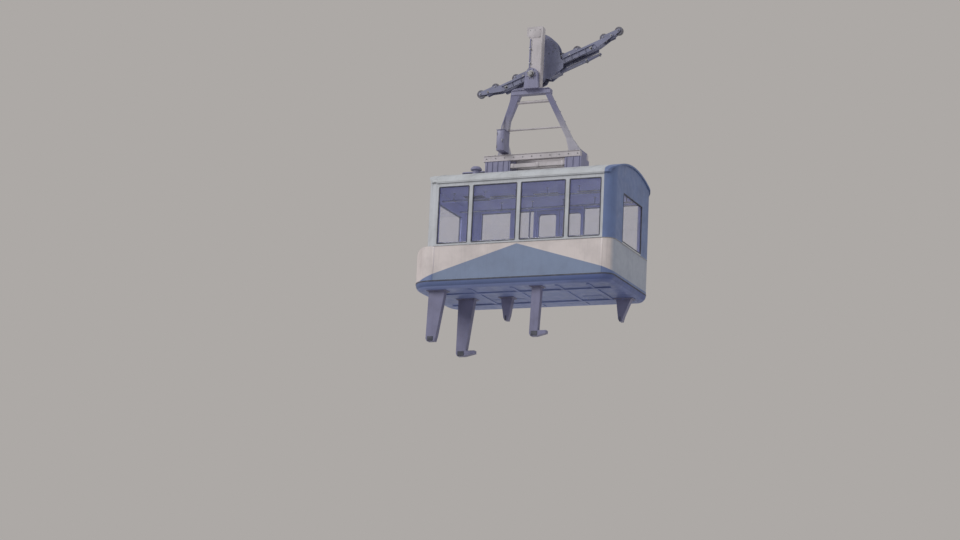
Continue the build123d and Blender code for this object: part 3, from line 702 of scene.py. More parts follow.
def bar(bm, start, end, r, r_end=None, sides=16):
    """A round bar, cone or washer between two points."""
    start = Vector(start)
    along = Vector(end) - start
    place = Matrix.Translation(start + along / 2) @ along.to_track_quat("Z", "Y").to_matrix().to_4x4()
    bmesh.ops.create_cone(bm, cap_ends=True, segments=sides, radius1=r,
                          radius2=r if r_end is None else r_end, depth=along.length, matrix=place)


def bolt(bm, seat, along, flats):
    """A hexagon head on a washer, with the end of its thread. flats is the size of the spanner."""
    axis = Vector(along).normalized()
    seat = Vector(seat)
    bar(bm, seat - axis * MM, seat + axis * 0.15 * flats, 0.72 * flats, sides=12)
    bar(bm, seat + axis * 0.15 * flats, seat + axis * 0.75 * flats, 0.58 * flats, 0.54 * flats, sides=6)
    bar(bm, seat + axis * 0.75 * flats, seat + axis * 0.95 * flats, 0.3 * flats, 0.26 * flats, sides=8)


def rivet(bm, seat, along, r=7 * MM):
    """A low domed rivet head."""
    axis = Vector(along).normalized()
    seat = Vector(seat)
    bar(bm, seat - axis * MM, seat + axis * 0.4 * r, r, 0.8 * r, sides=8)
    bar(bm, seat + axis * 0.4 * r, seat + axis * 0.6 * r, 0.8 * r, 0.4 * r, sides=8)


def stretch(start, end, pitch):
    """Evenly spaced numbers from start to end, about a pitch apart."""
    count = max(1, round(abs(end - start) / pitch))
    return [start + (end - start) * i / count for i in range(count + 1)]


print("edges sharper than", round(math.degrees(SHARP)), "degrees stay sharp")

# %% [markdown]
# Gaskets and strips start as a flat sheet that is rounded at its corners, hollowed to a border and
# raised. These steps are small helpers too. A sheet lies flat at the origin while it is shaped, which
# keeps its numbers plain, and is turned and put in its place last.

# %% Helpers for sheets


def put(bm, part, place):
    """Add a finished mesh to an open one, at a place."""
    bmesh.ops.transform(part, matrix=place, verts=part.verts)
    loose = bpy.data.meshes.new("loose")
    part.to_mesh(loose)
    part.free()
    bm.from_mesh(loose)
    bpy.data.meshes.remove(loose)


def facing(normal, upward=(0, 0, 1)):
    """A turn that lays a flat shape's front towards normal, with its top upward."""
    normal = Vector(normal)
    upward = Vector(upward)
    return Matrix((upward.cross(normal), upward, normal)).transposed().to_4x4()


def thicken(sheet, depth):
    """Raise a flat sheet into a solid."""
    made = bmesh.ops.extrude_face_region(sheet, geom=sheet.faces[:])["geom"]
    raised = [item for item in made if isinstance(item, bmesh.types.BMVert)]
    bmesh.ops.translate(sheet, vec=(0, 0, depth), verts=raised)


def hollow(sheet, width):
    """Leave only a border of a flat sheet."""
    inset = bmesh.ops.inset_individual(sheet, faces=sheet.faces[:], thickness=width, use_even_offset=True)
    middle = [face for face in sheet.faces if face not in inset["faces"]]
    bmesh.ops.delete(sheet, geom=middle, context="FACES_ONLY")


def ring(bm, width, height, corner, border, depth, place):
    """A rounded rectangular ring that stands up from a place."""
    sheet = bmesh.new()
    bmesh.ops.create_grid(sheet, x_segments=1, y_segments=1, size=0.5)
    bmesh.ops.scale(sheet, vec=(width, height, 1), verts=sheet.verts)
    bmesh.ops.bevel(sheet, geom=sheet.verts[:], offset=corner, offset_type="OFFSET", segments=4,
                    profile=0.5, affect="VERTICES", material=-1)
    hollow(sheet, border)
    thicken(sheet, depth)
    tops = [edge for edge in sheet.edges
            if all(vert.co.z > depth / 2 for vert in edge.verts) and edge.calc_face_angle(0.0) > SHARP]
    bmesh.ops.bevel(sheet, geom=tops, offset=min(depth, border) / 4, offset_type="OFFSET", segments=2,
                    profile=0.5, affect="EDGES", material=-1)
    put(bm, sheet, place)


front = facing((0, -1, 0)) @ Vector((0, 0, 1))
print("a sheet that is turned to the near side looks along", [round(share) for share in front])

# %% [markdown]
# A fitting's place is often read from the piece that carries it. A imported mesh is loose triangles, so
# a copy is merged first and the piece itself is left alone. Vertices that edges join are then one
# solid, and each solid has its box: that of one window pane, say, or of one leg.

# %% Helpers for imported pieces


def merged(node):
    """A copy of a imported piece's mesh with its doubled vertices merged."""
    bm = bmesh.new()
    bm.from_mesh(nodes[node].data)
    bmesh.ops.remove_doubles(bm, verts=bm.verts, dist=MM / 1000)
    return bm


def span(points):
    """The lowest and highest corner of some points."""
    points = list(points)
    return [Vector([pick(co[i] for co in points) for i in range(3)]) for pick in (min, max)]


def solids(node):
    """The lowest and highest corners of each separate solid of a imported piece, sorted along X."""
    bm = merged(node)
    waiting = set(bm.verts)
    boxes = []
    while waiting:
        reached = [waiting.pop()]
        island = []
        while reached:
            vert = reached.pop()
            island.append(vert.co.copy())
            for edge in vert.link_edges:
                other = edge.other_vert(vert)
                if other in waiting:
                    waiting.discard(other)
                    reached.append(other)
        boxes.append(span(island))
    bm.free()
    return sorted(boxes, key=lambda box: box[0].x)


print("window panes on the near side", len(solids("glass_near")))

# %% [markdown]
# Each pane is held by an extruded rubber gasket, pressed over the edge of the frame. It is a rounded
# ring: it laps 8 mm over the frame, covers the edge of the glass, and stands 5 mm proud. It could be
# swept along a curve, but a rounded sheet with its middle taken out is quicker and closes cleanly.

# %% Window gaskets
LAP = 8 * MM
PROUD = 5 * MM
GASKET_CORNER = 27 * MM
GASKET_BORDER = 20 * MM
GASKET_DEPTH = 25 * MM
DOOR_CORNER = 68 * MM
DOOR_DEPTH = 20 * MM
SIDES = {"near": (0, -1, 0), "far": (0, 1, 0)}


def gaskets(name, panes, face_at, body="cabin", corner=GASKET_CORNER, depth=GASKET_DEPTH):
    """A ring round each pane. face_at gives the outer face's place and its direction for a pane."""
    bm = bmesh.new()
    for low, high in panes:
        surface, normal = face_at(low, high)
        normal = Vector(normal)
        middle = (low + high) / 2
        middle += normal * (surface + PROUD - depth - middle.dot(normal))
        wide = (high - low).dot(Vector((abs(normal.y), abs(normal.x), 0)))
        place = Matrix.Translation(middle) @ facing(normal)
        ring(bm, wide + 2 * LAP, high.z - low.z + 2 * LAP, corner, GASKET_BORDER, depth, place)
    return new_piece(bm, name, gasket_rubber, body)


for side_name, direction in SIDES.items():
    gaskets(f"gaskets_{side_name}", solids(f"glass_{side_name}"), lambda low, high: (HALF_W, direction))
gaskets("gaskets_ends", solids("glass_ends"), lambda low, high: (HALF_L, (math.copysign(1, low.x), 0, 0)))
leaf_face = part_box("door_leaf_lower")[1].y
for leaf in ("lower", "upper"):
    gaskets(f"door_gasket_{leaf}", solids(f"door_glass_{leaf}"), lambda low, high: (leaf_face, (0, 1, 0)),
            body=f"door_{leaf}", corner=DOOR_CORNER, depth=DOOR_DEPTH)

# %% [markdown]
# Two strips run round the cabin: a drip strip over the joint between the belt and the windows, and
# a rubbing strip over the joint between the belt and the pan. Both follow the plan of the walls, so
# each is that plan as a rounded sheet, hollowed to a thin border and raised. The drip strip stops
# for the doorway, and the rubbing strip for the door's guide and for the flat front of the nose.

# %% Strips round the cabin
STRIP_PROUD = 6 * MM
STRIP_IN = 4 * MM
DRIP_TALL = 14 * MM
RUBBING_TALL = 24 * MM
NOSE_FRONT_GAP = 8 * MM
NOSE_CORNER = 0.45
TAIL_CORNER = HALF_L - FLAT_X
jamb_x = solids("mullions_far")[2][0].x * -1
guide_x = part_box("door_tracks")[1][0] + 10 * MM


def plan_ring(low_x, low_corner, high_corner, level, height):
    """A border round the cabin's plan, raised to a height about a level."""
    sheet = bmesh.new()
    bmesh.ops.create_grid(sheet, x_segments=1, y_segments=1, size=0.5)
    bmesh.ops.scale(sheet, vec=(HALF_L - low_x + 2 * STRIP_PROUD, 2 * (HALF_W + STRIP_PROUD), 1),
                    verts=sheet.verts)
    bmesh.ops.translate(sheet, vec=((HALF_L + low_x) / 2, 0, level - height / 2), verts=sheet.verts)
    for low_end, corner in ((True, low_corner), (False, high_corner)):
        picked = [vert for vert in sheet.verts
                  if (vert.co.x < low_x if low_end else vert.co.x > HALF_L) and abs(vert.co.y) > HALF_W]
        bmesh.ops.bevel(sheet, geom=picked, offset=corner + STRIP_PROUD, offset_type="OFFSET", segments=8,
                        profile=0.5, affect="VERTICES", material=-1)
    hollow(sheet, STRIP_PROUD + STRIP_IN)
    thicken(sheet, height)
    return sheet


def everything(bm):
    """All of a mesh, as a cut wants it."""
    return bm.verts[:] + bm.edges[:] + bm.faces[:]


def close_holes(bm):
    bmesh.ops.holes_fill(bm, edges=[edge for edge in bm.edges if edge.is_boundary])


def cut(bm, at, towards):
    """Cut away all that lies past a plane and close the cut."""
    bmesh.ops.bisect_plane(bm, geom=everything(bm), plane_co=at, plane_no=towards, clear_outer=True)
    close_holes(bm)


def gap_far(bm, half):
    """Take a stretch about the middle of the far side out of a plan ring."""
    for x in (-half, half):
        bmesh.ops.bisect_plane(bm, geom=everything(bm), plane_co=(x, 0, 0), plane_no=(1, 0, 0))
    gone = [face for face in bm.faces
            if face.calc_center_median().y > 0 and abs(face.calc_center_median().x) < half - MM]
    bmesh.ops.delete(bm, geom=gone, context="FACES")
    close_holes(bm)


drip = plan_ring(-HALF_L, TAIL_CORNER, TAIL_CORNER, SILL, DRIP_TALL)
gap_far(drip, jamb_x)
new_piece(drip, "drip_strip", polished_tube, "cabin")
rubbing = plan_ring(NOSE_X, NOSE_CORNER, TAIL_CORNER, PAN_LEVEL, RUBBING_TALL)
gap_far(rubbing, guide_x)
cut(rubbing, (NOSE_X + NOSE_FRONT_GAP, 0, 0), (-1, 0, 0))
new_piece(rubbing, "rubbing_strip", gasket_rubber, "cabin")

# %% [markdown]
# The belt's sheets are riveted to the frame inside, along the top and bottom of each panel. A rivet
# is repeated some hundreds of times, so it has only a few faces: two low cones that shade like a
# dome. The rows are walked round the plan: along the near side, round the tail and back along the
# far side, and a little way round the nose.

# %% Rivets
RIVET_PITCH = 0.12
RIVET_LEVELS = (PAN_LEVEL + 35 * MM, SILL - 28 * MM)
FRAME_RIVET_R = 6 * MM
POST_RIVET_PITCH = 0.26
ARCS = (
    # middle of the corner, its radius, and where its rivets start and stop in degrees
    (FLAT_X, TAIL_CORNER, 10, 80),
    (NOSE_X + NOSE_CORNER, NOSE_CORNER, 110, 150),
)


def belt_stations():
    """Places round the belt, each with the direction that it faces."""
    found = []
    for side in (-1, 1):
        for x in stretch(NOSE_X + NOSE_CORNER, FLAT_X - 0.05, RIVET_PITCH):
            if side < 0 or abs(x) > guide_x:
                found.append(((x, side * HALF_W), (0, side)))
        for centre_x, r, first, last in ARCS:
            for angle in stretch(math.radians(first), math.radians(last), RIVET_PITCH / r):
                out = (math.cos(angle), side * math.sin(angle))
                at = (centre_x + r * out[0], side * (HALF_W - r) + r * out[1])
                found.append((at, out))
    for y in stretch(-HALF_W + TAIL_CORNER, HALF_W - TAIL_CORNER, RIVET_PITCH):
        found.append(((HALF_L, y), (1, 0)))
    return found


rivets = bmesh.new()
stations = belt_stations()
for level in RIVET_LEVELS:
    for (x, y), (out_x, out_y) in stations:
        rivet(rivets, (x, y, level), (out_x, out_y, 0))
new_piece(rivets, "belt_rivets", belt_enamel, "cabin")

header_rivets = bmesh.new()
header_mid = (header_low[2] + header_high[2]) / 2 + 10 * MM
for x in stretch(-FLAT_X + 0.04, FLAT_X - 0.04, RIVET_PITCH):
    rivet(header_rivets, (x, -HALF_W, header_mid), (0, -1, 0), FRAME_RIVET_R)
    if abs(x) > guide_x:
        rivet(header_rivets, (x, HALF_W, header_mid), (0, 1, 0), FRAME_RIVET_R)
for low, high in solids("mullions_near"):
    for level in stretch(low.z + 0.10, high.z - 0.06, POST_RIVET_PITCH):
        rivet(header_rivets, ((low.x + high.x) / 2, -HALF_W, level), (0, -1, 0), FRAME_RIVET_R)
new_piece(header_rivets, "frame_rivets", frame_enamel, "cabin")

# %% [markdown]
# A pressed cover strip hides each joint between a side panel and an end. Under the eaves a small
# angle throws the roof's rain clear of the windows. Both are plain rolled sections: a long block
# with rounded edges, and for the covers a row of rivets down the middle. The angle is two such
# blocks, one flat and one on edge, and it stops where the door's track is.

# %% Seam covers and eave drip
SEAM_HALF = 17 * MM
SEAM_T = 3 * MM
covers = bmesh.new()
cover_rivets = bmesh.new()
for side in (-1, 1):
    for x in (-FLAT_X, FLAT_X):
        block(covers, (x - SEAM_HALF, side * (HALF_W - MM), PAN_LEVEL + 16 * MM),
              (x + SEAM_HALF, side * (HALF_W + SEAM_T), SILL - 8 * MM), MM)
        for level in stretch(PAN_LEVEL + 0.06, SILL - 0.05, 0.08):
            rivet(cover_rivets, (x, side * (HALF_W + SEAM_T), level), (0, side, 0), 5 * MM)
new_piece(covers, "seam_covers", belt_enamel, "cabin")
new_piece(cover_rivets, "seam_rivets", belt_enamel, "cabin")

ROOF_SIDE, ROOF_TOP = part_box("roof_shell")[1][1:]
ANGLE_OUT = ROOF_SIDE - 2 * MM
ANGLE_IN = ROOF_SIDE - 8 * MM
eaves = bmesh.new()
for side, x0, x1 in ((-1, -FLAT_X, FLAT_X), (1, -FLAT_X, -guide_x), (1, guide_x, FLAT_X)):
    block(eaves, (x0, side * (HALF_W - MM), EAVE - 5 * MM), (x1, side * ANGLE_OUT, EAVE + MM), 1.5 * MM)
    block(eaves, (x0, side * ANGLE_IN, EAVE - 22 * MM), (x1, side * ANGLE_OUT, EAVE + MM), 1.5 * MM)
new_piece(eaves, "eave_drip", frame_enamel, "cabin")

# %% [markdown]
# The roof sheet is stiffened by pressed ribs across it. A rib follows the barrel exactly, so it is
# made from the roof itself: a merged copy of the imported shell, cut to a narrow slice, capped, and
# raised a little about the eaves. That way it fades out at the eaves as a pressed rib does.

# %% Roof ribs
RIB_HALF = 14 * MM
RIB_UP = 9 * MM
RIB_XS = (-1.83, -1.05, -0.42, 0.10, 0.50, 1.12, 1.48)
grow = Matrix.Translation((0, 0, EAVE)) @ Matrix.Diagonal((1, 1, 1 + RIB_UP / (ROOF_TOP - EAVE), 1))
grow = grow @ Matrix.Translation((0, 0, -EAVE))
ribs = bmesh.new()
for x in RIB_XS:
    slice_of_roof = merged("roof_shell")
    cut(slice_of_roof, (x - RIB_HALF, 0, 0), (-1, 0, 0))
    cut(slice_of_roof, (x + RIB_HALF, 0, 0), (1, 0, 0))
    put(ribs, slice_of_roof, grow)
new_piece(ribs, "roof_ribs", roof_sheet, "cabin")

# %% [markdown]
# The hatch lid turns on two strap hinges at its downhill edge. The knuckles share one line, the
# hinge axis that the frame gives: the outer ones are screwed to the coaming, the middle one to the
# lid. A bent bar near the other edge is the pull.

# %% Hatch hinges and pull
KNUCKLE_R = 9 * MM
FIXED_KNUCKLES = ((0.080, 0.118), (0.162, 0.200))
LID_KNUCKLE = (0.121, 0.159)
STRAP_T = 6 * MM
PULL_HALF = 0.08
PULL_UP = 34 * MM
PULL_R = 7 * MM


def joint_place(name):
    """Where a joint's axis passes, as the record gives it."""
    return next(joint["pos_m"] for joint in record["behaviour"]["joints"] if joint["name"] == name)


hinge_x, _, hinge_z = joint_place("hatch_hinge")
lid_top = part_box("hatch_lid")[1][2]
fixed_half = bmesh.new()
lid_half = bmesh.new()
for side in (-1, 1):
    for ends in FIXED_KNUCKLES:
        y0, y1 = sorted(side * y for y in ends)
        bar(fixed_half, (hinge_x, y0, hinge_z), (hinge_x, y1, hinge_z), KNUCKLE_R)
        block(fixed_half, (hinge_x - 5 * MM, y0, hinge_z - 26 * MM), (hinge_x + 5 * MM, y1, hinge_z), MM)
        block(fixed_half, (hinge_x - 5 * MM, y0, hinge_z - 26 * MM),
              (hinge_x + 45 * MM, y1, hinge_z - 18 * MM), MM)
    y0, y1 = sorted(side * y for y in LID_KNUCKLE)
    bar(lid_half, (hinge_x, y0, hinge_z), (hinge_x, y1, hinge_z), KNUCKLE_R)
    block(lid_half, (hinge_x - 4 * MM, y0, hinge_z), (hinge_x + 4 * MM, y1, lid_top + STRAP_T), MM)
    block(lid_half, (hinge_x - 4 * MM, y0, lid_top), (hinge_x + 0.12, y1, lid_top + STRAP_T), MM)
    for x in (0.05, 0.095):
        bolt(lid_half, (hinge_x + x, (y0 + y1) / 2, lid_top + STRAP_T), (0, 0, 1), 9 * MM)
new_piece(fixed_half, "hatch_hinges_fixed", zinc_bolt, "cabin")
new_piece(lid_half, "hatch_hinges_lid", zinc_bolt, "roof_hatch")

pull = bmesh.new()
pull_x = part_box("hatch_lid")[1][0] - 0.06
for y in (-PULL_HALF, PULL_HALF):
    bar(pull, (pull_x, y, lid_top - 2 * MM), (pull_x, y, lid_top + PULL_UP), PULL_R)
    bar(pull, (pull_x, y, lid_top), (pull_x, y, lid_top + 5 * MM), 16 * MM)
bar(pull, (pull_x, -PULL_HALF - PULL_R, lid_top + PULL_UP), (pull_x, PULL_HALF + PULL_R, lid_top + PULL_UP),
    PULL_R)
new_piece(pull, "hatch_pull", polished_tube, "roof_hatch")

# %% [markdown]
# Each door leaf has a flush pull, a lock, a steel kick plate and a rubber nose where the leaves
# meet. A leaf slides outside the wall, but the guide above leaves only 8 mm in front of it, so
# every fitting is flat.

# %% Door fittings
PULL_X = 41 * MM
PULL_LEVEL = 1.06
LOCK_LEVEL = 0.93
for leaf, side in (("lower", -1), ("upper", 1)):
    leaf_low, leaf_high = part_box(f"door_leaf_{leaf}")
    fittings = bmesh.new()
    x = side * PULL_X
    spot = Matrix.Translation((x, leaf_face - MM, BASE + PULL_LEVEL)) @ facing((0, 1, 0))
    ring(fittings, 46 * MM, 0.17, 20 * MM, 8 * MM, 7 * MM, spot)
    block(fittings, (x - 16 * MM, leaf_face - MM, BASE + PULL_LEVEL - 0.08),
          (x + 16 * MM, leaf_face + 1.5 * MM, BASE + PULL_LEVEL + 0.08), MM)
    bar(fittings, (x, leaf_face - MM, BASE + LOCK_LEVEL), (x, leaf_face + 5 * MM, BASE + LOCK_LEVEL),
        15 * MM, 13 * MM, sides=24)
    bar(fittings, (x, leaf_face, BASE + LOCK_LEVEL), (x, leaf_face + 7 * MM, BASE + LOCK_LEVEL),
        6 * MM, sides=12)
    block(fittings, (leaf_low[0] + 12 * MM, leaf_face - MM, leaf_low[2] + 15 * MM),
          (leaf_high[0] - 12 * MM, leaf_face + 2 * MM, leaf_low[2] + 0.16), MM)
    for x in stretch(leaf_low[0] + 0.03, leaf_high[0] - 0.03, 0.1):
        for level in (0.03, 0.145):
            rivet(fittings, (x, leaf_face + 2 * MM, leaf_low[2] + level), (0, 1, 0), 5 * MM)
    new_piece(fittings, f"door_fittings_{leaf}", polished_tube, f"door_{leaf}")
    seal = bmesh.new()
    block(seal, (side * 0.8 * MM, leaf_low[1] + 2 * MM, leaf_low[2] + 3 * MM),
          (side * 6 * MM, leaf_face - 2 * MM, leaf_high[2] - 3 * MM), 2 * MM)
    new_piece(seal, f"door_seal_{leaf}", gasket_rubber, f"door_{leaf}")

# %% [markdown]
# Inside, the ceiling carries three lamps with opal covers, each in a steel frame, and the brackets
# of the grab rails. Cast brackets hold the side rails off the belt. All of it shows through the
# windows from below, which is how the cabin is mostly seen.

# %% Inside fittings
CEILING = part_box("ceiling")[0][2]
LAMP_XS = (-0.8, 0.15, 1.1)
LAMP_HALF_X = 0.24
LAMP_HALF_Y = 0.07
LAMP_DEEP = 26 * MM
LAMP_FRAME = (0.54, 0.20)
STALK_R = 9 * MM
SADDLE_R = 21 * MM          # the sleeve of a bracket round its rail
BRACKET_DROP = 0.06
GRAB_LEVEL = 1.5            # rails over this level hang from the ceiling
lamp_glow = bmesh.new()
brackets = bmesh.new()
for x in LAMP_XS:
    block(lamp_glow, (x - LAMP_HALF_X, -LAMP_HALF_Y, CEILING - LAMP_DEEP),
          (x + LAMP_HALF_X, LAMP_HALF_Y, CEILING + MM), 8 * MM)
    ring(brackets, *LAMP_FRAME, 20 * MM, 28 * MM, 10 * MM,
         Matrix.Translation((x, 0, CEILING + MM)) @ facing((0, 0, -1), (0, 1, 0)))
new_piece(lamp_glow, "ceiling_lamps", lamp_acrylic, "cabin")
for low, high in solids("handrails"):
    y = (low.y + high.y) / 2
    z = (low.z + high.z) / 2
    side = math.copysign(1, y)
    wall_y = side * (HALF_W - 0.05)
    for x in stretch(low.x + 0.25, high.x - 0.25, 0.75):
        if z > BASE + GRAB_LEVEL:
            bar(brackets, (x, y, z), (x, y, CEILING), STALK_R)
            bar(brackets, (x, y, CEILING - 6 * MM), (x, y, CEILING), 30 * MM)
            bar(brackets, (x - 24 * MM, y, z), (x + 24 * MM, y, z), SADDLE_R)
        else:
            foot_z = z - BRACKET_DROP
            bar(brackets, (x, y, z), (x, wall_y, foot_z), STALK_R)
            bar(brackets, (x, wall_y - side * 6 * MM, foot_z), (x, wall_y, foot_z), 28 * MM)
            bar(brackets, (x - 20 * MM, y, z), (x + 20 * MM, y, z), SADDLE_R)
new_piece(brackets, "rail_brackets", polished_tube, "cabin")

# %% [markdown]
# The belly is a flat sheet on pressed channels, with two bolted covers for the floor's drains and
# for the cells that feed the lamps. All of it is sprayed with the pan, so it shows as shallow
# relief. Each channel is one long block with rounded edges, let 1 mm into the belly.

# %% Belly channels and covers
LONG_CHANNEL_YS = (-0.52, 0.52)
LONG_CHANNEL_XS = (-2.02, 1.78)
LONG_CHANNEL_HALF = 0.04
CROSS_CHANNEL_XS = (-1.05, -0.15, 0.80, 1.45)
CROSS_CHANNEL_Y = 0.93
CROSS_CHANNEL_HALF = 0.035
CHANNEL_DEEP = 24 * MM
CROSS_DEEP = 0.7 * CHANNEL_DEEP
COVER_XS = ((-0.95, -0.30), (0.95, 1.35))
COVER_YS = (0.12, 0.44)
COVER_T = 5 * MM
channels = bmesh.new()
for y in LONG_CHANNEL_YS:
    block(channels, (LONG_CHANNEL_XS[0], y - LONG_CHANNEL_HALF, BASE - CHANNEL_DEEP),
          (LONG_CHANNEL_XS[1], y + LONG_CHANNEL_HALF, BASE + MM), 7 * MM)
for x in CROSS_CHANNEL_XS:
    block(channels, (x - CROSS_CHANNEL_HALF, -CROSS_CHANNEL_Y, BASE - CROSS_DEEP),
          (x + CROSS_CHANNEL_HALF, CROSS_CHANNEL_Y, BASE + MM), 6 * MM)
belly_bolts = bmesh.new()
for x0, x1 in COVER_XS:
    block(channels, (x0, COVER_YS[0], BASE - COVER_T), (x1, COVER_YS[1], BASE + MM), 2 * MM)
    for x in stretch(x0 + 0.03, x1 - 0.03, 0.15):
        for y in (COVER_YS[0] + 0.03, COVER_YS[1] - 0.03):
            bolt(belly_bolts, (x, y, BASE - COVER_T), (0, 0, -1), 10 * MM)
new_piece(channels, "belly_channels_and_covers", pan_paint, "cabin")

# %% [markdown]
# Each docking leg is bolted to the belly through a flange, and a rubber pad on both sides of its tip
# takes the knocks of the platform. The legs taper and lean, so the length of a root and of a tip are
# read from the vertices of the leg's own solid near its top and near its foot.

# %% Docking leg flanges and pads
FLANGE_T = 14 * MM
FLANGE_X = 0.04
FLANGE_Y = 0.05
TIP_TALL = 60 * MM
PAD_T = 10 * MM
dock_mesh = merged("docking_legs")


def leg_reach(low, high, bottom, top):
    """From where to where along X a docking leg reaches between two levels."""
    found = [vert.co.x for vert in dock_mesh.verts
             if low.x - MM <= vert.co.x <= high.x + MM and low.y - MM <= vert.co.y <= high.y + MM
             and bottom < vert.co.z < top]
    return min(found), max(found)


flanges = bmesh.new()
pads = bmesh.new()
for low, high in solids("docking_legs"):
    root_x = leg_reach(low, high, BASE - MM, high.z + MM)
    tip_x = leg_reach(low, high, low.z - MM, low.z + TIP_TALL)
    block(flanges, (root_x[0] - FLANGE_X, low.y - FLANGE_Y, BASE - FLANGE_T),
          (root_x[1] + FLANGE_X, high.y + FLANGE_Y, BASE + MM), 3 * MM)
    for x in stretch(root_x[0], root_x[1], 0.11):
        for y in (low.y - 0.027, high.y + 0.027):
            bolt(belly_bolts, (x, y, BASE - FLANGE_T), (0, 0, -1), 16 * MM)
    pad_end = min(tip_x[1], tip_x[0] + 0.2) - 30 * MM
    for y, side in ((low.y, -1), (high.y, 1)):
        block(pads, (tip_x[0] + 35 * MM, y - side * MM, low.z + 8 * MM),
              (pad_end, y + side * PAD_T, low.z + 0.10), 4 * MM)
dock_mesh.free()
new_piece(flanges, "dock_flanges", dock_enamel, "cabin")
new_piece(pads, "dock_pads", gasket_rubber, "cabin")
new_piece(belly_bolts, "belly_bolts", zinc_bolt, "cabin")

# %% [markdown]
# The hanger stands on the roof through two saddles. Each leg ends in a thick foot plate, bolted down
# to the beams, and the saddles' sides are stiffened by thin upright fins. Bolts also run along the
# beams, which carry the load from the legs to the saddles.

# %% Hanger feet
FEET = ((-0.805, 0.19), (0.765, 0.165))         # middle and half length of each leg's foot plate
FOOT_HALF_Y = 0.165
FOOT_BOLT_Y = 0.14
FOOT_T = 18 * MM
FIN_IN = 0.228
FIN_OUT = 0.246
FIN_HALF = 5 * MM
beam_low, beam_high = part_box("hanger_beams")
BEAM_TOP = beam_high[2]
feet = bmesh.new()
feet_bolts = bmesh.new()
for (low, high), (middle, half) in zip(solids("hanger_saddles"), FEET):
    block(feet, (middle - half, -FOOT_HALF_Y, BEAM_TOP - MM),
          (middle + half, FOOT_HALF_Y, BEAM_TOP + FOOT_T), 3 * MM)
    for x in stretch(middle - half + 0.03, middle + half - 0.03, 0.13):
        for y in (-FOOT_BOLT_Y, FOOT_BOLT_Y):
            bolt(feet_bolts, (x, y, BEAM_TOP + FOOT_T), (0, 0, 1), 22 * MM)
    for x in stretch(low.x + 0.04, high.x - 0.04, 0.12):
        for side in (-1, 1):
            block(feet, (x - FIN_HALF, side * FIN_IN, ROOF_TOP - 0.03),
                  (x + FIN_HALF, side * FIN_OUT, beam_low[2] - 4 * MM), MM)
for x in stretch(beam_low[0] + 0.06, beam_high[0] - 0.06, 0.19):
    for side in (-1, 1):
        bolt(feet_bolts, (x, side * beam_high[1], (beam_low[2] + beam_high[2]) / 2), (0, side, 0), 18 * MM)
new_piece(feet, "hanger_feet", joint_enamel, "cabin")
new_piece(feet_bolts, "hanger_bolts", zinc_bolt, "cabin")

# %% [markdown]
# The beams are rolled channels: their flanges stand out along the top and bottom edges. The
# stringers between the saddles are clamped at both ends and in the middle. The yoke at the top of
# the legs is bolted to the head through a flange of its own.

# %% Beam flanges, stringer clamps and yoke
CHANNEL_LIP = 14 * MM
CHANNEL_LIP_T = 9 * MM
CLAMP_HALF = 0.03
CLAMP_PROUD = 7 * MM
YOKE_FLANGE_T = 14 * MM
flange = bmesh.new()
for low, high in solids("hanger_beams"):
    side = math.copysign(1, low.y + high.y)
    face = high.y if side > 0 else low.y
    for z0, z1 in ((low.z, low.z + CHANNEL_LIP_T), (high.z - CHANNEL_LIP_T, high.z)):
        block(flange, (low.x, face - side * MM, z0), (high.x, face + side * CHANNEL_LIP, z1), 2 * MM)
for low, high in solids("hanger_stringers"):
    for x in (low.x + 0.05, (low.x + high.x) / 2, high.x - 0.05):
        block(flange, (x - CLAMP_HALF, low.y - CLAMP_PROUD, low.z - CLAMP_PROUD),
              (x + CLAMP_HALF, high.y + CLAMP_PROUD, high.z + CLAMP_PROUD), 3 * MM)
new_piece(flange, "beam_flanges", hanger_enamel, "cabin")

yoke_low, yoke_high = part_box("hanger_yoke")
yoke = bmesh.new()
head_bolts = bmesh.new()
block(yoke, (yoke_low[0] + 0.02, yoke_low[1] - 0.02, yoke_high[2] - MM),
      (yoke_high[0] - 0.02, yoke_high[1] + 0.02, yoke_high[2] + YOKE_FLANGE_T), 3 * MM)
for x in (yoke_low[0] + 0.06, yoke_low[0] + 0.18, yoke_high[0] - 0.18, yoke_high[0] - 0.06):
    for y in (yoke_low[1] + 0.025, yoke_high[1] - 0.025):
        bolt(head_bolts, (x, y, yoke_high[2] + YOKE_FLANGE_T), (0, 0, 1), 20 * MM)
new_piece(yoke, "yoke_flange", joint_enamel, "cabin")

# %% [markdown]
# The pivot is the car's most important joint. The bearing's cap is held by a ring of eight bolts
# round the pin, with a grease nipple on top. The head behind it is a hollow column that rises well
# over the pin, with flanges along its edges and a bolted access cover near its top, on both faces.

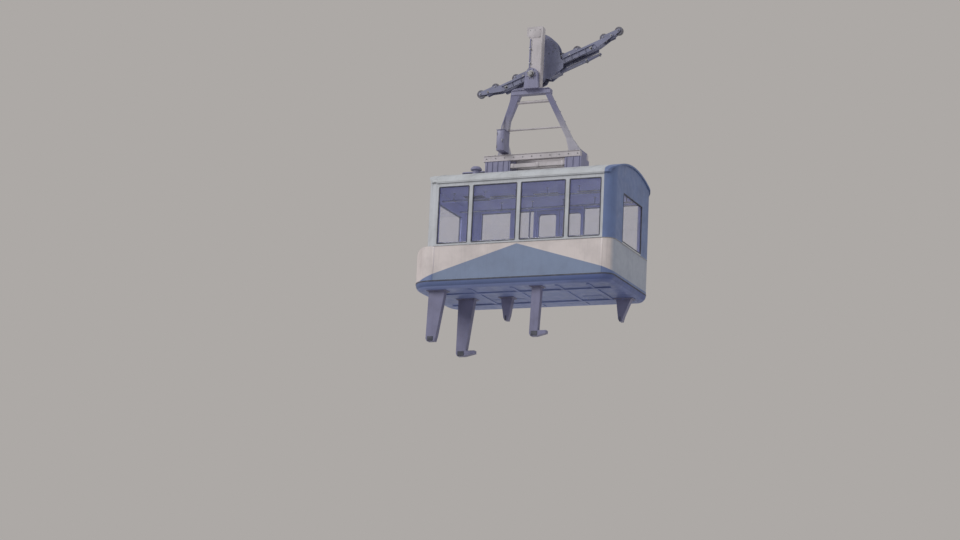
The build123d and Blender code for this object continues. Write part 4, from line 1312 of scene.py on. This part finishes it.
# %% Head and bearing
CAP_R = 0.102
COVER_X = (-0.21, 0.05)
COVER_PROUD = 5 * MM
COLUMN_EDGES = (-0.145, 0.066)
pivot = joint_place("cabin_swing")
bearing_low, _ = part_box("pivot_bearing")
head_low, head_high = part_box("hanger_head")
for step in range(8):
    angle = math.radians(22.5 + 45 * step)
    at = (pivot[0] + CAP_R * math.cos(angle), bearing_low[1], pivot[2] + CAP_R * math.sin(angle))
    bolt(head_bolts, at, (0, -1, 0), 16 * MM)
nipple_y = bearing_low[1] + 0.05
bar(head_bolts, (pivot[0], nipple_y, pivot[2] + 0.125), (pivot[0], nipple_y, pivot[2] + 0.15),
    8 * MM, 5 * MM, sides=8)
cover_z = (head_high[2] - 0.24, head_high[2] - 0.05)
cover = bmesh.new()
for y, side in ((head_low[1], -1), (head_high[1], 1)):
    near_y = y - side * MM
    far_y = y + side * COVER_PROUD
    block(cover, (COVER_X[0], near_y, cover_z[0]), (COVER_X[1], far_y, cover_z[1]), 2 * MM)
    for x in stretch(COVER_X[0] + 0.02, COVER_X[1] - 0.02, 0.11):
        for z in (cover_z[0] + 0.02, cover_z[1] - 0.02):
            bolt(head_bolts, (x, far_y, z), (0, side, 0), 11 * MM)
    for x in COLUMN_EDGES:
        block(cover, (x - 5 * MM, near_y, yoke_high[2] + 0.02), (x + 5 * MM, far_y, cover_z[0] - 0.12), MM)
new_piece(cover, "head_cover", hanger_enamel, "cabin")
new_piece(head_bolts, "head_bolts", zinc_bolt, "cabin")

# %% [markdown]
# The control box on the downhill leg is a pressed steel cabinet: a door that stands a little proud, a
# rain hood over it, two hinges and a turn handle, and a gland in its top for the wiring.

# %% Control box
box_low, box_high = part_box("control_box")
cabinet = bmesh.new()
block(cabinet, (box_low[0] + 12 * MM, box_low[1] - 6 * MM, box_low[2] + 15 * MM),
      (box_high[0] - 12 * MM, box_low[1] + MM, box_high[2] - 15 * MM), 3 * MM)
block(cabinet, (box_low[0] - 12 * MM, box_low[1] - 12 * MM, box_high[2] - MM),
      (box_high[0] + 12 * MM, box_high[1] + 8 * MM, box_high[2] + 8 * MM), 3 * MM)
new_piece(cabinet, "control_box_door", joint_enamel, "cabin")
hardware = bmesh.new()
hinge_at = (box_low[0] + 8 * MM, box_low[1] - 8 * MM)
for z in (box_low[2] + 0.08, box_high[2] - 0.08):
    bar(hardware, (*hinge_at, z - 0.03), (*hinge_at, z + 0.03), 6 * MM)
handle_x = box_high[0] - 30 * MM
handle_z = (box_low[2] + box_high[2]) / 2
bar(hardware, (handle_x, box_low[1] - 5 * MM, handle_z), (handle_x, box_low[1] - 16 * MM, handle_z), 13 * MM)
block(hardware, (handle_x - 7 * MM, box_low[1] - 24 * MM, handle_z - 0.055),
      (handle_x + 7 * MM, box_low[1] - 15 * MM, handle_z + 0.015), 3 * MM)
gland = (box_low[0] + 0.05, box_low[1] + 0.12)
bar(hardware, (*gland, box_high[2]), (*gland, box_high[2] + 0.035), 17 * MM, sides=6)

# %% [markdown]
# From the gland a steel conduit climbs the downhill face of the leg, passes round the end of the yoke
# to its near side and runs up the head. Bent pipe has no sharp corners, so it is a tube on a smooth
# curve through a few points beside what it passes. Three clips hold it to the head.

# %% Conduit
CONDUIT_R = 13 * MM
CONDUIT_Y = -0.455          # just off the head's near face
CLIP_LEVELS = (-0.30, 0.0, 0.30)
ROUTE = (
    (*gland, box_high[2] + 0.02), (*gland, box_high[2] + 0.12),
    (-0.775, -0.275, -1.20), (-0.700, -0.300, -1.00), (-0.585, -0.345, -0.72), (-0.560, -0.40, -0.60),
    (-0.50, CONDUIT_Y, -0.53), (-0.30, CONDUIT_Y, -0.53), (-0.18, CONDUIT_Y, -0.50),
    (-0.168, CONDUIT_Y, -0.40), (-0.168, CONDUIT_Y, 0.20), (-0.168, CONDUIT_Y, 0.42),
    (-0.165, CONDUIT_Y, 0.52),
)
conduit_curve = bpy.data.curves.new("conduit", "CURVE")
conduit_curve.dimensions = "3D"
conduit_curve.bevel_depth = CONDUIT_R
conduit_curve.bevel_resolution = 3
conduit_curve.use_fill_caps = True
run = conduit_curve.splines.new("NURBS")
run.points.add(len(ROUTE) - 1)
for point, at in zip(run.points, ROUTE):
    point.co = (*at, 1)
run.order_u = 3
run.use_endpoint_u = True
conduit_curve.materials.append(joint_enamel)
conduit = bpy.data.objects.new("conduit", conduit_curve)
bpy.context.scene.collection.objects.link(conduit)
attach(conduit, "cabin")
for z in CLIP_LEVELS:
    block(hardware, (-0.186, -0.471, z - 0.012), (-0.140, head_low[1] + MM, z + 0.012), 2 * MM)
new_piece(hardware, "control_box_hardware", zinc_bolt, "cabin")

# %% [markdown]
# Step irons on the uphill leg let a fitter climb from the roof to the pivot. Each is a bar bent
# twice and welded to the leg's far side, about 0.21 m apart, and painted with the leg. The leg
# leans, so each iron's place is read from the leg's own solid: a cut across a merged copy at that
# height.

# %% Step irons
RUNG_R = 9 * MM
RUNG_OUT = 0.11
RUNG_IN = 22 * MM
RUNG_PITCH = 0.21
leg_mesh = merged("hanger_legs")


def uphill_leg_at(level):
    """The lowest and highest corner of the uphill leg's section at a height."""
    copy = leg_mesh.copy()
    made = bmesh.ops.bisect_plane(copy, geom=everything(copy), plane_co=(0, 0, level), plane_no=(0, 0, 1))
    at = [item.co.copy() for item in made["geom_cut"]
          if isinstance(item, bmesh.types.BMVert) and item.co.x > 0]
    copy.free()
    return span(at)


rungs = bmesh.new()
for level in stretch(BEAM_TOP + 0.28, yoke_low[2] - 0.12, RUNG_PITCH):
    low, high = uphill_leg_at(level)
    y = high.y + RUNG_OUT
    for x in (low.x + RUNG_IN, high.x - RUNG_IN):
        bar(rungs, (x, (low.y + high.y) / 2, level), (x, y, level), RUNG_R)
    bar(rungs, (low.x + RUNG_IN - RUNG_R, y, level), (high.x - RUNG_IN + RUNG_R, y, level), RUNG_R)
leg_mesh.free()
new_piece(rungs, "leg_rungs", leg_paint, "cabin")

# %% [markdown]
# The carriage is drawn level and then tilted, because its parts are square to the slope that it
# climbs and not to the ground. The slope is the direction of the carriage's mount in the record. In
# the level frame, u runs along the way of the wheels, uphill, and v up from it.

# %% Carriage places
climb = next(mount["axis"] for mount in record["mounts"] if mount["name"] == "track_rope")
SLOPE = math.atan2(climb[2], climb[0])
TILT = Matrix.Rotation(-SLOPE, 4, "Y")
wheel_places = []
for number in range(1, 9):
    low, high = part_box(f"track_wheel_{number}")
    wheel_places.append(TILT.inverted() @ ((Vector(low) + Vector(high)) / 2))
bogie_us = [(a.x + b.x) / 2 for a, b in zip(wheel_places[::2], wheel_places[1::2])]
rocker_us = [(a + b) / 2 for a, b in zip(bogie_us[::2], bogie_us[1::2])]
PLATE_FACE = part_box("carriage_plates")[1][1]
ROCKER_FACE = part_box("rockers")[1][1]
print("slope", round(math.degrees(SLOPE), 1), "bogies at", [round(u, 3) for u in bogie_us])


def tilted(bm):
    """Tilt a level mesh to the slope."""
    bmesh.ops.transform(bm, matrix=TILT, verts=bm.verts)
    return bm


# %% [markdown]
# The side plates are stiffened by flanges and webs along the arms, and bolts run round the fin,
# where the brake housing is fixed between the plates. The pins of the rockers and of the outer
# bogies end in washers and nuts, those of the inner bogies in washers alone. Both sides are alike,
# so it is all made once for each side.

# %% Carriage fittings
ARM_V = (-0.105, 0.015)
ARM_SPANS = ((-0.965, -0.30), (0.425, 1.16))
ARM_LIPS = ((ARM_V[0] + 2 * MM, ARM_V[0] + 12 * MM), (ARM_V[1] - 12 * MM, ARM_V[1] - 2 * MM))
LIP_OUT = 24 * MM
WEB_OUT = 20 * MM
FIN_BOLTS = (
    # over the fin's peak and down its curved uphill edge
    (0.085, 0.575), (0.150, 0.605), (0.215, 0.625), (0.285, 0.545), (0.335, 0.470), (0.362, 0.380),
    (0.372, 0.290),
    # back along its foot
    (0.30, 0.242), (0.20, 0.242), (0.10, 0.242), (0.0, 0.242), (-0.10, 0.242), (-0.20, 0.242),
    # up its straight downhill edge and over its top
    (-0.19, 0.33), (-0.165, 0.42), (-0.14, 0.50), (-0.06, 0.555), (0.01, 0.567),
)
TIE_BOLT_US = (-0.255, -0.175, 0.09, 0.23)
HAUL_V = -0.205
ROCKER_PIN_V = -0.04
BOGIE_PIN_V = 0.044
INNER_U = 1.0               # a bogie nearer to the pivot than this is an inner one
plates = bmesh.new()
fasteners = bmesh.new()
for side in (-1, 1):
    out = (0, side, 0)
    face = side * PLATE_FACE
    inside = side * (PLATE_FACE - MM)
    for u0, u1 in ARM_SPANS:
        for v0, v1 in ARM_LIPS:
            block(plates, (u0, inside, v0), (u1, side * (PLATE_FACE + LIP_OUT), v1), 2 * MM)
        for u in stretch(u0 + 0.05, u1 - 0.05, 0.17):
            block(plates, (u - 4 * MM, inside, ARM_V[0] + 8 * MM),
                  (u + 4 * MM, side * (PLATE_FACE + WEB_OUT), ARM_V[1] - 8 * MM), MM)
    for u, v in FIN_BOLTS:
        bolt(fasteners, (u, face, v), out, 15 * MM)
    for u in TIE_BOLT_US:
        bolt(fasteners, (u, face, HAUL_V), out, 15 * MM)
    washer = side * (PLATE_FACE + 8 * MM)
    for u in rocker_us:
        bar(fasteners, (u, face, ROCKER_PIN_V), (u, washer, ROCKER_PIN_V), 36 * MM, sides=24)
        bolt(fasteners, (u, washer, ROCKER_PIN_V), out, 34 * MM)
    washer = side * (ROCKER_FACE + 4 * MM)
    for u in bogie_us:
        bar(fasteners, (u, side * ROCKER_FACE, BOGIE_PIN_V), (u, washer, BOGIE_PIN_V), 23 * MM, sides=24)
        if abs(u) > INNER_U:
            bolt(fasteners, (u, washer, BOGIE_PIN_V), out, 20 * MM)
new_piece(tilted(plates), "carriage_flanges", carriage_enamel, "carriage")
new_piece(tilted(fasteners), "carriage_bolts", zinc_bolt, "carriage")

# %% [markdown]
# The pivot pin is kept by a large nut on each end, with the turned end of its thread beyond. The
# haul sockets are clamped by steel collars, each with a lug and two small bolts across it.

# %% Pin nuts and socket collars
PIN_NUT_T = 26 * MM
COLLARS = (
    # from and to along u, and the radius
    (-0.34, -0.31, 47 * MM), (-0.50, -0.478, 31 * MM), (0.875, 0.905, 47 * MM), (1.17, 1.195, 31 * MM),
)
LUG_HALF = 9 * MM
pin_low, pin_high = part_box("pivot_pin")
nuts = bmesh.new()
for y, side in ((pin_low[1], -1), (pin_high[1], 1)):
    start, middle, end = ((pivot[0], y + side * off, pivot[2]) for off in (-MM, PIN_NUT_T, 36 * MM))
    bar(nuts, start, middle, 56 * MM, 53 * MM, sides=6)
    bar(nuts, middle, end, 30 * MM, 26 * MM, sides=24)
new_piece(nuts, "pivot_nuts", turned_steel, "carriage")

collars = bmesh.new()
for u0, u1, r in COLLARS:
    bar(collars, (u0, 0, HAUL_V), (u1, 0, HAUL_V), r, sides=24)
    block(collars, (u0, -LUG_HALF, HAUL_V - r - 16 * MM), (u1, LUG_HALF, HAUL_V - r + 8 * MM), 2 * MM)
    for side in (-1, 1):
        bolt(collars, ((u0 + u1) / 2, side * LUG_HALF, HAUL_V - r - 7 * MM), (0, side, 0), 9 * MM)
new_piece(tilted(collars), "haul_collars", zinc_bolt, "carriage")

# %% [markdown]
# Small cast shoes hang from rods under the brake housing, in pairs that face each other, and each
# bogie has a pair of guides between its wheels. All of them are blocks with well rounded edges. The
# way between the two of a pair is left open along the whole carriage.

# %% Brake shoes and guides
SHOE_SPANS = ((-0.205, -0.155), (0.19, 0.32))
SHOE_YS = (26 * MM, 58 * MM)
SHOE_VS = (-0.03, 0.045)
ROD_Y = 44 * MM
ROD_VS = (0.04, 0.225)
ROD_IN = 0.016
ROD_R = 10 * MM
TIE_HALF = 14 * MM          # a flat tie joins the rods over each shoe
TIE_VS = (0.205, 0.218)
GUIDE_YS = (27 * MM, 44 * MM)
GUIDE_VS = (-0.024, 0.026)
GUIDE_HALF_U = 0.05
shoes = bmesh.new()
for side in (-1, 1):
    rod_y = side * ROD_Y
    for u0, u1 in SHOE_SPANS:
        block(shoes, (u0, side * SHOE_YS[0], SHOE_VS[0]), (u1, side * SHOE_YS[1], SHOE_VS[1]), 6 * MM)
        for u in (u0 + ROD_IN, u1 - ROD_IN):
            bar(shoes, (u, rod_y, ROD_VS[0]), (u, rod_y, ROD_VS[1]), ROD_R, sides=12)
        block(shoes, (u0, rod_y - TIE_HALF, TIE_VS[0]), (u1, rod_y + TIE_HALF, TIE_VS[1]), 2 * MM)
    for u in bogie_us:
        block(shoes, (u - GUIDE_HALF_U, side * GUIDE_YS[0], GUIDE_VS[0]),
              (u + GUIDE_HALF_U, side * GUIDE_YS[1], GUIDE_VS[1]), 6 * MM)
new_piece(tilted(shoes), "brake_shoes_and_guides", carriage_enamel, "carriage")

# %% [markdown]
# The wheels are cast with a grooved rim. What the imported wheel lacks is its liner, worn bright in
# use, the strengthening ribs on its web, and the nuts that hold the axle. The liner is a thin
# profile spun a full turn round the axle, as it would be turned on a lathe.

# %% Wheel liners, ribs and nuts
low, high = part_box("track_wheel_1")
RIM_R = (high[0] - low[0]) / 2
AXLE_END = high[1]
SPIN_STEPS = 32
SPOKES = 6
SPOKE_FROM = 30 * MM        # from the axle's middle
SPOKE_TO = RIM_R - 28 * MM
SPOKE_YS = (28 * MM, 34 * MM)
SPOKE_HALF = 3.5 * MM
LINER = (
    # across the wheel, and out from the rim, in mm: over the outside and back along the inside
    (-21, 2.5), (-12, -15.5), (0, -17.2), (12, -15.5), (21, 2.5), (12, -18.5), (0, -20.5), (-12, -18.5),
)


def wheel_trim(number, place):
    """Liner, web ribs, nuts and thread ends of one wheel, in the level frame and then tilted."""
    bm = bmesh.new()
    turned = bmesh.new()
    rim = [turned.verts.new((0, y * MM, RIM_R + r * MM)) for y, r in LINER]
    loop = [turned.edges.new((a, b)) for a, b in zip(rim, rim[1:] + rim[:1])]
    bmesh.ops.spin(turned, geom=rim + loop, cent=(0, 0, 0), axis=(0, 1, 0), angle=math.tau,
                   steps=SPIN_STEPS, use_merge=True)
    put(bm, turned, Matrix.Translation(place))
    for side in (-1, 1):
        for step in range(SPOKES):
            spoke = Matrix.Translation(place) @ Matrix.Rotation(math.tau * step / SPOKES, 4, "Y")
            block(bm, (SPOKE_FROM, side * SPOKE_YS[0], -SPOKE_HALF),
                  (SPOKE_TO, side * SPOKE_YS[1], SPOKE_HALF), MM, spoke)
        end = place + Vector((0, side * AXLE_END, 0))
        out = Vector((0, side, 0))
        bar(bm, end - out * MM, end + out * 9 * MM, 14 * MM, 13 * MM, sides=6)
        bar(bm, end + out * 9 * MM, end + out * 13 * MM, 8 * MM, 6 * MM, sides=12)
    new_piece(tilted(bm), f"wheel_trim_{number}", worn_tread, f"track_wheel_{number}_body")


for number, place in enumerate(wheel_places, start=1):
    wheel_trim(number, place)

# %% [markdown]
# The last step measures. The box of the dressed car is set against that of the imported one, and
# how far the dressed car reaches past it is printed.

# %% Sizes for the record
visual_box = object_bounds()
below = [a - b for a, b in zip(cad_box[0], visual_box[0])]
above = [b - a for a, b in zip(cad_box[1], visual_box[1])]
over = [round(max(pair) / MM, 1) for pair in zip(below, above)]
print("past the packed box, in mm along X, Y and Z", over)
